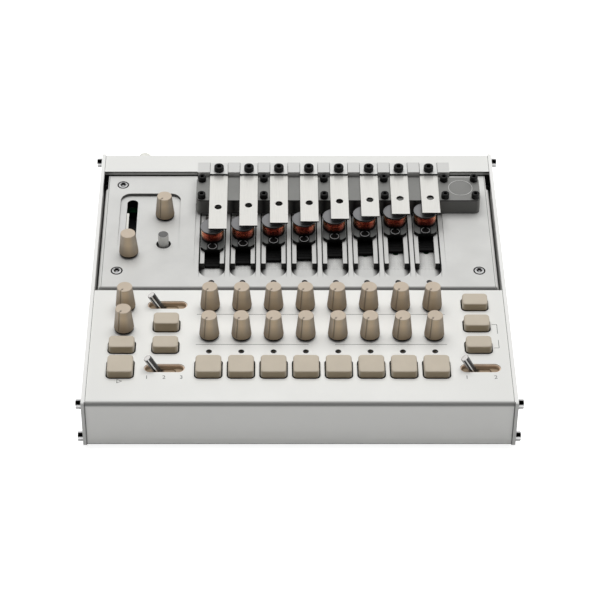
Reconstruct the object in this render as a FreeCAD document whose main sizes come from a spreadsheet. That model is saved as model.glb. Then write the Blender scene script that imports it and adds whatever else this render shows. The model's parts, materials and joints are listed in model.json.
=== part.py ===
import FreeCAD, Part
import operator
import os
import Sketcher
from types import SimpleNamespace

# A desktop synthesizer: eight steel reeds are driven by coils that slide in a slotted deck,
# behind a panel of knobs, buttons and toggle levers. Every length is in millimetres.
# The sub-parts are drawn with y = 0 on the front wall and z = 0 on the control panel's top face.
# The part's own frame stands on the floor under the middle of the whole object.

SIZES = (
    # the shell
    ("body_width", 221.0, "shell width between the side plates"),
    ("body_depth", 209.0, "shell depth from the front wall to the rear wall"),
    ("body_height", 29.0, "shell height from the base to the control panel"),
    ("wall", 2.0, "thickness of the panel, the walls and the base"),
    ("bend_round", 3.0, "outer radius of the front top edge"),
    ("rear_round", 1.0, "outer radius of the rear top edge"),
    ("panel_depth", 89.4, "depth of the control panel to the edge of the recess"),
    ("strip_depth", 15.7, "depth of the rear strip"),
    ("flange_drop", 11.5, "how far the recess walls reach down"),
    ("shelf_reach", 7.6, "how far the panel's shelf runs under the deck"),
    ("shelf_thick", 1.5, "thickness of the shelf and of the recess walls"),
    ("port_size", 5.5, "side of the upper screw port inside each wall"),
    ("rib_height", 6.5, "height of the lower screw rib above the base's underside"),
    ("rib_reach", 12.5, "how far the lower rib runs in from the wall's outer face"),
    ("rib_foot", 5.2, "how far the part of the rib beside the base runs in"),
    ("plate_thick", 2.0, "thickness of a side plate"),
    ("plate_proud", 0.8, "how far a side plate stands out past the shell"),
    ("plate_corner", 1.5, "corner radius of a side plate"),
    ("foot_height", 2.0, "thickness of a rubber foot"),
    ("foot_radius", 6.0, "radius of a rubber foot"),
    ("foot_inset", 17.0, "distance from a foot's middle to the shell's edges"),
    ("foot_bevel", 0.5, "bevel round a foot's sole"),
    # the grid of the controls
    ("grid", 17.0, "pitch of the eight channels and of the button rows"),
    ("channel_mid", 12.1, "x of the middle of the eight channels"),
    ("side_pitch", 23.0, "distance from an outer channel to the column beside it"),
    ("first_row", 26.2, "y of the row of step buttons"),
    ("low_knob_row", 52.2, "y of the front row of channel knobs"),
    ("high_knob_row", 75.3, "y of the rear row of channel knobs"),
    ("left_low_knob", 57.5, "y of the front knob in the left column"),
    ("left_high_knob", 75.1, "y of the rear knob in the left column"),
    ("left_knob_shift", 0.6, "how far the knobs of the left column stand to the right of it"),
    ("lamp_row", 39.9, "y of the lamps on the panel"),
    ("deck_lamp_row", 99.5, "y of the lamps on the deck"),
    ("lamp_radius", 1.5, "radius of a lamp"),
    ("lamp_sink", 0.35, "how deep a lamp sits below its surface"),
    ("toggle_row", 77.0, "y of the rear toggle"),
    ("front_toggle_row", 27.0, "y of the two front toggles"),
    # knobs and their pots
    ("knob_base", 5.35, "radius of a knob at its foot"),
    ("knob_crown", 4.05, "radius of a knob below its rim"),
    ("knob_height", 14.3, "height of a knob"),
    ("knob_gap", 0.3, "gap under a knob"),
    ("knob_rim", 0.45, "bevel round a knob's top"),
    ("knob_bevel", 0.4, "bevel round a knob's foot"),
    ("knob_bore", 9.5, "depth of the bore in a knob"),
    ("groove_width", 0.7, "width of the pointer groove"),
    ("groove_depth", 0.3, "depth of the pointer groove"),
    ("dot_near", 1.9, "distance of the pointer mark's near end from the knob's axis"),
    ("dot_far", 3.1, "distance of the pointer mark's far end from the knob's axis"),
    ("pointer_rest", 240.0, "direction of a knob's pointer at rest, from +x, in degrees"),
    ("shaft_radius", 3.0, "radius of a pot's shaft"),
    ("bush_radius", 3.9, "radius of a pot's bush"),
    ("pot_width", 9.6, "width of a pot's housing along x"),
    ("pot_length", 11.0, "length of a pot's housing along y"),
    ("pot_height", 6.5, "height of a pot's housing"),
    # buttons and their switches
    ("cap_width", 13.5, "width of every button cap"),
    ("cap_short", 9.3, "length of a function button along y"),
    ("cap_height", 4.5, "height of a cap above the panel"),
    ("cap_raise", 1.4, "how much higher the rear menu button stands"),
    ("cap_corner", 2.0, "corner radius of a cap in plan"),
    ("cap_edge", 0.9, "radius of a cap's top edge"),
    ("cap_gap", 0.7, "gap between a cap and its hole"),
    ("skirt_reach", 1.25, "how far a cap's skirt runs out under the panel"),
    ("skirt_thick", 1.0, "thickness of a cap's skirt"),
    ("skirt_gap", 0.4, "gap between the skirt and the panel"),
    ("press_travel", 1.0, "travel of a button"),
    ("plunger_radius", 1.7, "radius of a switch's plunger"),
    ("switch_width", 6.2, "width of a push switch's housing"),
    ("switch_height", 4.5, "height of a push switch's housing"),
    # toggles
    ("toggle_slot", 21.3, "length of a toggle's slot"),
    ("toggle_mouth", 6.4, "width of a toggle's slot"),
    ("liner_wall", 0.5, "wall of the liner in a toggle's slot"),
    ("liner_brim", 1.0, "how far the liner's brim runs out under the panel"),
    ("lever_depth", 9.0, "depth of a lever's pivot below the panel"),
    ("lever_length", 18.4, "length of a lever from its pivot"),
    ("lever_neck", 1.9, "radius of a lever at its neck"),
    ("lever_tip", 2.1, "radius of a lever near its tip"),
    ("lever_bevel", 0.4, "bevel round a lever's flat end"),
    ("lever_lean", 28.4, "lean of a lever at rest, in degrees"),
    ("hub_radius", 2.0, "radius of a lever's hub"),
    ("hub_width", 4.4, "width of a lever's hub along its pin"),
    ("pin_radius", 0.8, "radius of a lever's pin"),
    ("toggle_length", 18.0, "length of a toggle's housing along x"),
    ("toggle_width", 7.4, "width of a toggle's housing along y"),
    # the deck
    ("deck_drop", 3.0, "depth of the deck's top face below the panel"),
    ("deck_thick", 7.0, "thickness of the deck"),
    ("deck_side_gap", 1.3, "gap between the deck and a side plate"),
    ("deck_front_gap", 3.9, "gap between the panel's edge and the deck"),
    ("deck_rear_gap", 0.5, "gap between the deck and the rear strip"),
    ("deck_front_round", 3.0, "radius of the deck's front edge"),
    ("deck_side_round", 1.4, "radius of the deck's side edges"),
    ("corner_notch", 1.3, "how far the deck's rear corners are cut in from its sides"),
    ("corner_run", 12.3, "length of the cut in each rear corner of the deck"),
    ("deck_screw_inset", 9.7, "distance from a deck screw to the deck's side edge"),
    ("deck_screw_front", 109.0, "y of the front deck screws"),
    ("deck_screw_rear", 184.7, "y of the rear deck screws"),
    ("knob_shift", 4.2, "distance from the second column to the deck knob, to the left"),
    ("dish_left", 6.8, "distance from the left dish's left wall to the fader"),
    ("dish_right", 8.5, "distance from the left dish's right wall to the deck knob"),
    ("dish_front", 121.3, "y where the left dish's floor starts to fall"),
    ("dish_rear", 176.9, "y of the left dish's rear wall"),
    ("dish_depth", 2.0, "depth of the left dish at its rear wall"),
    ("dish_round", 6.0, "corner radius of the left dish"),
    ("bay_side", 2.8, "distance from the wide dish's walls to the outer slots"),
    ("bay_front", 106.0, "y where the wide dish's floor starts to fall"),
    ("bay_depth", 1.4, "depth of the wide dish at its rear wall"),
    ("bay_reach", 9.3, "how far the wide dish runs under the bridge"),
    ("fader_front", 123.6, "y of the fader's cap at rest"),
    ("fader_travel", 45.0, "travel of the fader"),
    ("fader_mouth", 6.1, "width of the fader's slot"),
    ("fader_past", 1.4, "run of the fader's slot behind its travel"),
    ("deck_knob_row", 158.0, "y of the knob on the deck"),
    ("pipe_row", 132.3, "y of the clear light pipe"),
    ("pipe_radius", 2.9, "radius of the light pipe"),
    ("pipe_hole", 4.1, "radius of the light pipe's hole"),
    ("pipe_top", 3.7, "height of the light pipe's end above the panel"),
    # slots and coil carriages
    ("slot_width", 14.4, "width of a carriage slot"),
    ("slot_nose", 0.4, "flat at the round front end of a slot"),
    ("slot_front", 103.1, "y of a slot's front end"),
    ("slot_rear", 159.4, "y of a slot's rear end, under the bridge"),
    ("ledge_front", 117.4, "y where the ledges of a slot start"),
    ("ledge_drop", 2.0, "depth of a ledge below the deck's top"),
    ("channel_width", 8.7, "width of the channel between the ledges"),
    ("channel_drop", 6.0, "depth of the channel below the deck's top"),
    ("seam_width", 0.4, "width of the seam beside a ledge"),
    ("seam_drop", 4.0, "depth of the seam below the deck's top"),
    ("nut_slit", 3.4, "width of the slit under a carriage"),
    ("coil_ahead", 5.8, "distance from a reed's tip back to its coil's axis"),
    ("disc_radius", 6.65, "radius of a coil's top disc"),
    ("disc_top", 5.0, "height of a coil's top disc above the panel"),
    ("disc_thick", 1.0, "thickness of a coil's top disc"),
    ("winding_radius", 6.25, "radius of a winding"),
    ("winding_height", 5.6, "height of a winding"),
    ("core_radius", 2.5, "radius of a coil's core"),
    ("flange_thick", 1.0, "thickness of a coil's lower flange"),
    ("bracket_half", 6.4, "half width of a carriage's bracket"),
    ("bracket_ahead", 9.0, "reach of the bracket's full width in front of the coil"),
    ("tongue_width", 8.5, "width of a carriage's tongue"),
    ("tongue_ahead", 19.7, "reach of the tongue in front of the coil"),
    ("tongue_thick", 1.4, "thickness of the tongue"),
    ("lock_ahead", 8.4, "distance from the lock screw to the coil's axis"),
    ("slide_gap", 0.1, "gap between a carriage and its slot"),
    ("slide_near", 11.5, "longest travel of a carriage towards the front"),
    ("nut_width", 7.0, "side of the nut under the deck"),
    ("nut_thick", 2.0, "thickness of the nut under the deck"),
    # bridge, rail and reeds
    ("bridge_side", 9.6, "distance from the first channel to the bridge's left end"),
    ("bridge_right", 102.9, "x of the bridge's right end"),
    ("bridge_front", 158.7, "y of the bridge's front face"),
    ("bridge_depth", 20.7, "depth of the bridge"),
    ("bridge_top", 6.6, "height of the bridge's top above the panel"),
    ("bridge_corner", 3.0, "corner radius of the bridge"),
    ("reed_shift", 3.0, "distance from a channel to its reed"),
    ("reed_width", 10.0, "width of a reed"),
    ("reed_thick", 0.8, "thickness of a reed"),
    ("reed_lift", 0.6, "height of a reed's underside above the bridge"),
    ("reed_length", 47.4, "free length of the longest reed"),
    ("reed_hole", 2.1, "radius of the hole in a reed"),
    ("reed_hole_share", 0.4, "place of the hole, as a share of the free length from the tip"),
    ("clamp_front", 179.4, "y of the clamps' front edge"),
    ("clamp_depth", 9.9, "depth of a clamp"),
    ("clamp_thick", 1.2, "thickness of a clamp"),
    ("clamp_screw_in", 3.4, "distance from a clamp's front edge to its screw"),
    ("rail_front", 180.9, "y of the clamp rail's front edge"),
    ("rail_left", 12.2, "distance from the first reed to the rail's left end"),
    ("rail_right", 12.0, "distance from the last reed to the rail's right end"),
    ("rail_depth", 9.0, "depth of the clamp rail"),
    ("notch_gap", 0.1, "gap between a reed and the notch that it lies in"),
    ("bridge_screw_front", 2.6, "distance from the bridge's front face to its front screws"),
    ("bridge_screw_span", 15.5, "distance between the two rows of bridge screws"),
    ("bridge_screw_out", 1.0, "how much further out the left bridge screws sit"),
    # fasteners, boards and sockets
    ("screw_radius", 1.5, "radius of an M3 screw"),
    ("screw_head", 2.75, "head radius of an M3 cap screw"),
    ("screw_head_height", 3.0, "head height of an M3 cap screw"),
    ("screw_socket", 1.44, "corner radius of the hexagon in an M3 cap screw"),
    ("small_screw", 1.25, "radius of an M2.5 screw"),
    ("small_head", 2.25, "head radius of an M2.5 cap screw"),
    ("small_head_height", 3.1, "head height of an M2.5 cap screw with its washer"),
    ("flush_head", 3.3, "head radius of a countersunk screw"),
    ("flush_depth", 1.8, "head depth of a countersunk screw"),
    ("screw_fit", 0.05, "gap round a screw in its thread"),
    ("run_fit", 0.05, "gap round a shaft that turns in its bearing"),
    ("screw_inset", 3.3, "distance from a side screw to the shell's edges"),
    ("screw_low_inset", 2.7, "distance from a low side screw to the base's underside"),
    ("side_screw_length", 10.0, "length of a side screw's shank"),
    ("post_radius", 3.5, "radius of a deck post"),
    ("spacer_radius", 2.6, "radius of a board spacer"),
    ("board_thick", 1.6, "thickness of a circuit board"),
    ("board_drop", 12.0, "depth of the main board's top below the panel"),
    ("board_reach", 105.0, "y of the main board's rear edge"),
    ("board_gap", 4.0, "gap between a board and the shell"),
    ("driver_drop", 20.0, "depth of the driver board's top below the panel"),
    ("driver_front", 114.0, "y of the driver board's front edge"),
    ("driver_rear", 180.0, "y of the driver board's rear edge"),
    ("fader_body", 11.0, "width of the fader's housing"),
    ("fader_tall", 7.0, "height of the fader's housing"),
    ("fader_end", 7.5, "length of the fader's housing past its travel"),
    ("jack_bore", 3.25, "bore radius of a large jack"),
    ("jack_width", 15.0, "width of a large jack's housing"),
    ("jack_length", 22.0, "length of a large jack's housing"),
    ("jack_tall", 10.4, "height of a large jack's housing"),
    ("jack_reach", 24.0, "depth of a large jack's bore"),
    ("mini_bore", 1.8, "bore radius of a small jack"),
    ("mini_width", 10.0, "width of a small jack's housing"),
    ("mini_length", 12.0, "length of a small jack's housing"),
    ("mini_tall", 8.0, "height of a small jack's housing"),
    ("mini_reach", 14.0, "depth of a small jack's bore"),
    ("nozzle_proud", 2.0, "how far a jack's nozzle stands out of the rear wall"),
    ("nut_proud", 1.5, "thickness of a jack's nut"),
    ("power_tall", 9.8, "height of the power socket's housing"),
    ("data_tall", 3.2, "height of the data socket's shell"),
    ("rear_knob_x", 88.8, "distance of the rear knob from the middle, to the left"),
    ("rear_knob_mid", 13.6, "depth of the rear knob's axis below the panel"),
)

SCALE_STEPS = (0, 2, 4, 5, 7, 9, 11, 12)
MINI_JACKS_X = (-16.0, -2.0, 12.0, 26.0)
LARGE_JACKS_X = (-66.0, -44.0)
POWER_SOCKET_X = 84.0
DATA_SOCKET_X = 52.0
TINY = 0.01


class Size:
    """A number together with the sheet formula that gives it."""

    def __init__(self, value, text):
        self.value = float(value)
        self.text = text

    def __add__(self, other):
        return joined(operator.add, self, "+", other)

    def __radd__(self, other):
        return joined(operator.add, other, "+", self)

    def __sub__(self, other):
        return joined(operator.sub, self, "-", other)

    def __rsub__(self, other):
        return joined(operator.sub, other, "-", self)

    def __mul__(self, other):
        return joined(operator.mul, self, "*", other)

    def __rmul__(self, other):
        return joined(operator.mul, other, "*", self)

    def __truediv__(self, other):
        return joined(operator.truediv, self, "/", other)

    def __neg__(self):
        return joined(operator.mul, -1, "*", self)


def size(item):
    """A plain number as a Size; a Size is passed through."""
    if isinstance(item, Size):
        return item
    return Size(item, repr(float(item)))


def joined(work, left, sign, right):
    """The Size that an operator makes of two numbers or Sizes."""
    left = size(left)
    right = size(right)
    return Size(work(left.value, right.value), f"({left.text} {sign} {right.text})")


def make_sheet():
    """The spreadsheet of driving sizes, and a namespace that gives each one by its alias."""
    sheet = doc.addObject("Spreadsheet::Sheet", "sizes")
    names = SimpleNamespace()
    for row, (alias, number, meaning) in enumerate(SIZES, start=1):
        sheet.set(f"A{row}", meaning)
        sheet.set(f"B{row}", str(number))
        sheet.setAlias(f"B{row}", alias)
        setattr(names, alias, Size(number, f"sizes.{alias}"))
    doc.recompute()
    return names


doc = FreeCAD.newDocument("synthesizer")
s = make_sheet()
nodes = []

# places that several sub-parts share
knob_top = s.knob_gap + s.knob_height
front = -(s.body_depth + knob_top - s.plate_proud) / 2
lift = s.foot_height + s.body_height
half_width = s.body_width / 2
floor = -s.body_height
base_top = floor + s.wall
ceiling = -s.wall
strip_front = s.body_depth - s.strip_depth
deck_top = -s.deck_drop
deck_bottom = deck_top - s.deck_thick
deck_half = half_width - s.deck_side_gap
deck_front = s.panel_depth + s.deck_front_gap
deck_rear = strip_front - s.deck_rear_gap
deck_screw_x = deck_half - s.deck_screw_inset
channels = [s.channel_mid + (step - 3.5) * s.grid for step in range(8)]
reeds = [x + s.reed_shift for x in channels]
second_column = channels[0] - s.side_pitch
left_column = second_column - s.side_pitch
right_column = channels[-1] + s.side_pitch
rows = [s.first_row + step * s.grid for step in range(4)]
board_top = -s.board_drop
driver_top = -s.driver_drop
rear_board_top = floor + s.rib_height + s.board_thick
jack_z = rear_board_top + s.jack_tall / 2
mini_z = rear_board_top + s.mini_tall / 2
power_z = rear_board_top + s.power_tall / 2
data_z = rear_board_top + s.data_tall / 2
deck_knob_x = second_column - s.knob_shift
deck_knob_z = deck_top - s.dish_depth * (s.deck_knob_row - s.dish_front) / (s.dish_rear - s.dish_front)
fader_mid = s.fader_front + s.fader_travel / 2
bridge_left = channels[0] - s.bridge_side
bridge_rear = s.bridge_front + s.bridge_depth
rail_rear = s.rail_front + s.rail_depth
reed_bottom = s.bridge_top + s.reed_lift
reed_top = reed_bottom + s.reed_thick
clamp_top = reed_top + s.clamp_thick
clamp_screw_y = s.clamp_front + s.clamp_screw_in
reed_lengths = [s.reed_length * 2 ** (-step / 24) for step in SCALE_STEPS]
coil_rows = [s.clamp_front - length + s.coil_ahead for length in reed_lengths]
bridge_screws_x = [reeds[0] - s.grid / 2 + step * s.grid * 2 for step in range(5)]
bridge_screws_x.append(bridge_screws_x[-1] + s.grid)
bridge_screws_x[0] = bridge_screws_x[0] - s.bridge_screw_out
bridge_screws_y = [s.bridge_front + s.bridge_screw_front]
bridge_screws_y.append(bridge_screws_y[0] + s.bridge_screw_span)
bolt_bore = s.screw_radius + s.screw_fit
small_bore = s.small_screw + s.screw_fit
rib_screws_x = [-half_width * 0.6, size(0), half_width * 0.6]
rib_screw_inset = (s.rib_foot + s.rib_reach) / 2
buttons = (
    [(f"step_button_{number + 1}", x, rows[0], s.cap_width) for number, x in enumerate(channels)]
    + [("play_button", left_column, rows[0], s.cap_width)]
    + [("left_button", left_column, rows[1], s.cap_short)]
    + [("menu_button_1", second_column, rows[1], s.cap_short)]
    + [("menu_button_2", second_column, rows[2], s.cap_short)]
    + [(f"right_button_{row}", right_column, rows[row], s.cap_short) for row in (1, 2, 3)]
)
toggles = (
    ("rear_toggle", second_column, s.toggle_row),
    ("front_toggle", second_column, s.front_toggle_row),
    ("right_toggle", right_column, s.front_toggle_row),
)
panel_knobs = (
    [(f"front_knob_{number + 1}", x, s.low_knob_row) for number, x in enumerate(channels)]
    + [(f"rear_knob_{number + 1}", x, s.high_knob_row) for number, x in enumerate(channels)]
    + [("left_front_knob", left_column + s.left_knob_shift, s.left_low_knob)]
    + [("left_rear_knob", left_column + s.left_knob_shift, s.left_high_knob)]
)


def bind(obj, **formulas):
    """Bind properties of an object to Sizes; a dot in a property's path is written as __."""
    for path, item in formulas.items():
        obj.setExpression(path.replace("__", "."), size(item).text)


def locate(obj, x=0, y=0, z=0):
    """Bind an object's place."""
    bind(obj, Placement__Base__x=x, Placement__Base__y=y, Placement__Base__z=z)
    return obj


def turn(obj, axis, degrees):
    """Turn an object about an axis through its own origin."""
    spin = FreeCAD.Rotation(FreeCAD.Vector(*axis), size(degrees).value)
    obj.Placement = FreeCAD.Placement(FreeCAD.Vector(), spin)
    bind(obj, Placement__Rotation__Angle=degrees)
    return obj


def block(low, high):
    """A box between two corners."""
    obj = doc.addObject("Part::Box", "block")
    bind(obj, Length=high[0] - low[0], Width=high[1] - low[1], Height=high[2] - low[2])
    return locate(obj, *low)


def rod(radius, x, y, low, high):
    """An upright cylinder between two heights."""
    obj = doc.addObject("Part::Cylinder", "rod")
    bind(obj, Radius=radius, Height=high - low)
    return locate(obj, x, y, low)


def rod_back(radius, x, z, near, far):
    """A cylinder that runs along +y between two depths."""
    obj = doc.addObject("Part::Cylinder", "rod")
    bind(obj, Radius=radius, Height=far - near)
    turn(obj, (-1, 0, 0), 90)
    return locate(obj, x, near, z)


def cone(low_radius, high_radius, x, y, low, high):
    """An upright cone between two heights."""
    obj = doc.addObject("Part::Cone", "cone")
    bind(obj, Radius1=low_radius, Radius2=high_radius, Height=high - low)
    return locate(obj, x, y, low)


def fuse(*shapes):
    """Several touching shapes as one solid."""
    obj = doc.addObject("Part::MultiFuse", "fuse")
    obj.Shapes = list(shapes)
    obj.Refine = True
    return obj


def cut(base, *tools):
    """A shape less its tools."""
    obj = doc.addObject("Part::Cut", "cut")
    obj.Base = base
    obj.Tool = tools[0]
    if len(tools) > 1:
        group = doc.addObject("Part::Compound", "tools")
        group.Links = list(tools)
        obj.Tool = group
    return obj


def node(label, *parts, x=0, y=0, z=0):
    """One sub-part of one or more solids, moved from the drawing's frame to the part's frame."""
    obj = parts[0]
    if len(parts) > 1:
        obj = doc.addObject("Part::Compound", label)
        obj.Links = list(parts)
    obj.Label = label
    locate(obj, x, front + y, lift + z)
    nodes.append(obj)
    return obj


def new_body(name):
    """An empty body."""
    return doc.addObject("PartDesign::Body", name)


def origin_feature(body, role):
    """A plane or axis of a body's origin."""
    return next(item for item in body.Origin.OriginFeatures if item.Role == role)


def new_sketch(body, plane, offset=0):
    """A sketch on one of the body's origin planes, moved along the plane's normal."""
    obj = body.newObject("Sketcher::SketchObject", "sketch")
    obj.AttachmentSupport = (origin_feature(body, plane), [""])
    obj.MapMode = "FlatFace"
    bind(obj, AttachmentOffset__Base__z=offset)
    return obj


def pin_point(sketch, geometry, point, x, y):
    """Dimension a point of a sketch from the sketch's origin."""
    for kind, item in (("DistanceX", size(x)), ("DistanceY", size(y))):
        number = sketch.addConstraint(Sketcher.Constraint(kind, -1, 1, geometry, point, item.value))
        sketch.setExpression(f"Constraints[{number}]", item.text)


def pin_radius(sketch, geometry, radius):
    """Dimension the radius of a circle or an arc."""
    item = size(radius)
    number = sketch.addConstraint(Sketcher.Constraint("Radius", geometry, item.value))
    sketch.setExpression(f"Constraints[{number}]", item.text)


def flat(x, y):
    """A point of a sketch from two Sizes."""
    return FreeCAD.Vector(size(x).value, size(y).value, 0)


def draw_circle(sketch, x, y, radius):
    """A dimensioned circle."""
    circle = Part.Circle(flat(x, y), FreeCAD.Vector(0, 0, 1), size(radius).value)
    number = sketch.addGeometry(circle)
    pin_point(sketch, number, 3, x, y)
    pin_radius(sketch, number, radius)


def draw_arc(sketch, start, middle, end):
    """An arc through three points. Gives its number and the numbers of its two end points."""
    leftward = (middle - start).cross(end - middle).z > 0
    if leftward:
        return sketch.addGeometry(Part.Arc(start, middle, end)), 1, 2
    return sketch.addGeometry(Part.Arc(end, middle, start)), 2, 1


def draw_outline(sketch, corners):
    """A closed outline. A corner is (x, y), or (x, y, radius) where its two edges lie along the axes."""
    count = len(corners)
    points = [flat(corner[0], corner[1]) for corner in corners]
    pieces = []
    leave = []
    for index, corner in enumerate(corners):
        if len(corner) == 2:
            leave.append((corner[0], corner[1]))
            continue
        here = points[index]
        arrive = (here - points[index - 1]).normalize()
        depart = (points[(index + 1) % count] - here).normalize()
        radius = corner[2]
        begin = (corner[0] - radius * round(arrive.x), corner[1] - radius * round(arrive.y))
        finish = (corner[0] + radius * round(depart.x), corner[1] + radius * round(depart.y))
        centre = flat(*begin) + depart * size(radius).value
        middle = centre + (arrive - depart).normalize() * size(radius).value
        pieces.append((index, draw_arc(sketch, flat(*begin), middle, flat(*finish)), begin, radius))
        leave.append(finish)
    rounded = {piece[0]: piece for piece in pieces}
    chain = []
    for index in range(count):
        following = (index + 1) % count
        goal = leave[following]
        if following in rounded:
            goal = rounded[following][2]
        line = sketch.addGeometry(Part.LineSegment(flat(*leave[index]), flat(*goal)))
        chain.append((line, 1, 2, leave[index], None))
        if following in rounded:
            _, (arc, first, last), begin, radius = rounded[following]
            chain.append((arc, first, last, begin, radius))
    for index, (number, first, last, begin, radius) in enumerate(chain):
        after = chain[(index + 1) % len(chain)]
        sketch.addConstraint(Sketcher.Constraint("Coincident", number, last, after[0], after[1]))
        pin_point(sketch, number, first, *begin)
        if radius is not None:
            pin_radius(sketch, number, radius)


def draw_box(sketch, x, y, width, length):
    """A rectangle round a middle point."""
    left, right = x - width / 2, x + width / 2
    near, far = y - length / 2, y + length / 2
    draw_outline(sketch, [(left, near), (right, near), (right, far), (left, far)])


def draw_slot(sketch, x, y, length, width, along_y=False):
    """A slot with round ends round a middle point."""
    radius = width / 2
    reach = length / 2 - radius
    shift = (size(0), reach) if along_y else (reach, size(0))
    ends = []
    for sign in (-1, 1):
        mid = (x + sign * shift[0], y + sign * shift[1])
        out = FreeCAD.Vector(0, sign, 0) if along_y else FreeCAD.Vector(sign, 0, 0)
        side = FreeCAD.Vector(-out.y, out.x, 0)
        centre = flat(*mid)
        arms = [centre - side * radius.value, centre + out * radius.value, centre + side * radius.value]
        arc = draw_arc(sketch, *arms)
        ends.append((arc, arms))
        pin_point(sketch, arc[0], 3, *mid)
        pin_radius(sketch, arc[0], radius)
        level = "Horizontal" if along_y else "Vertical"
        sketch.addConstraint(Sketcher.Constraint(level, arc[0], 3, arc[0], 1))
        sketch.addConstraint(Sketcher.Constraint(level, arc[0], 3, arc[0], 2))
    for one, other in ((0, 1), (1, 0)):
        (arc_one, _, last), arms_one = ends[one]
        (arc_other, first, _), arms_other = ends[other]
        line = sketch.addGeometry(Part.LineSegment(arms_one[2], arms_other[0]))
        sketch.addConstraint(Sketcher.Constraint("Coincident", line, 1, arc_one, last))
        sketch.addConstraint(Sketcher.Constraint("Coincident", line, 2, arc_other, first))


def pad(body, sketch, length, down=False, both=False):
    """A pad of a sketch: along its normal, against it, or half to each side."""
    obj = body.newObject("PartDesign::Pad", "pad")
    obj.Profile = sketch
    obj.Reversed = down
    obj.Midplane = both
    bind(obj, Length=length)
    doc.recompute()
    return obj


def pocket(body, sketch, length=None, up=False, both=False):
    """A pocket against the sketch's normal, along it, to both sides, or through everything."""
    before = body.Shape.Volume
    obj = body.newObject("PartDesign::Pocket", "pocket")
    obj.Profile = sketch
    obj.Reversed = up
    obj.Midplane = both
    if length is None:
        obj.Type = "ThroughAll"
    else:
        bind(obj, Length=length)
    doc.recompute()
    if body.Shape.Volume > before - TINY:
        raise RuntimeError(f"a pocket in {body.Label} cuts nothing")
    return obj


def repeat(body, feature, count, pitch):
    """A row of copies of a feature along x."""
    obj = body.newObject("PartDesign::LinearPattern", "row")
    obj.Originals = [feature]
    obj.Direction = (origin_feature(body, "X_Axis"), [""])
    obj.Occurrences = count
    bind(obj, Length=pitch * (count - 1))
    body.Tip = obj
    doc.recompute()
    return obj


def dress(body, kind, radius, chosen):
    """A fillet or a chamfer on the edges that a test chooses."""
    before = body.Tip
    names = [f"Edge{number}" for number, edge in enumerate(before.Shape.Edges, start=1) if chosen(edge)]
    if not names:
        raise RuntimeError(f"no edge to dress in {body.Label}")
    obj = body.newObject(f"PartDesign::{kind}", kind.lower())
    obj.Base = (before, names)
    bind(obj, **{"Radius" if kind == "Fillet" else "Size": radius})
    doc.recompute()
    return obj


def upright(edge):
    """Whether an edge is a vertical line."""
    low, high = edge.Vertexes[0].Point, edge.Vertexes[-1].Point
    return abs(low.x - high.x) < TINY and abs(low.y - high.y) < TINY and abs(low.z - high.z) > TINY


def at_height(edge, z):
    """Whether an edge lies in a level plane."""
    box = edge.BoundBox
    level = size(z).value
    return abs(box.ZMin - level) < TINY and abs(box.ZMax - level) < TINY


def near_line(edge, x=None, y=None, z=None):
    """Whether an edge's middle lies on the given coordinates."""
    middle = edge.BoundBox.Center
    pairs = ((middle.x, x), (middle.y, y), (middle.z, z))
    return all(item is None or abs(value - size(item).value) < TINY for value, item in pairs)


def wall_profile(sketch, edge, bend, corners):
    """The section of a wall with its rounded top edge, its upper port and its lower rib.

    edge(distance) gives the y of a distance in from the wall's outer face.
    """
    draw_outline(
        sketch,
        [
            (edge(0), floor),
            (edge(0), size(0), bend),
            *corners,
            (edge(s.wall + s.port_size), ceiling),
            (edge(s.wall + s.port_size), ceiling - s.port_size),
            (edge(s.wall), ceiling - s.port_size),
            (edge(s.wall), floor + s.rib_height),
            (edge(s.rib_reach), floor + s.rib_height),
            (edge(s.rib_reach), base_top),
            (edge(s.rib_foot), base_top),
            (edge(s.rib_foot), floor),
        ],
    )


def drill_ports(body, edge):
    """The bores for the side screws, in from both ends, and the bores for the base's screws."""
    for side in (-1, 1):
        ends = new_sketch(body, "YZ_Plane", half_width * side)
        draw_circle(ends, edge(s.screw_inset), -s.screw_inset, bolt_bore)
        draw_circle(ends, edge(s.screw_inset), floor + s.screw_low_inset, bolt_bore)
        pocket(body, ends, s.side_screw_length + 1, up=side < 0)
    below = new_sketch(body, "XY_Plane", base_top)
    for x in rib_screws_x:
        draw_circle(below, x, edge(rib_screw_inset), bolt_bore)
    pocket(body, below, s.rib_height - s.wall - 0.6, up=True)


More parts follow.
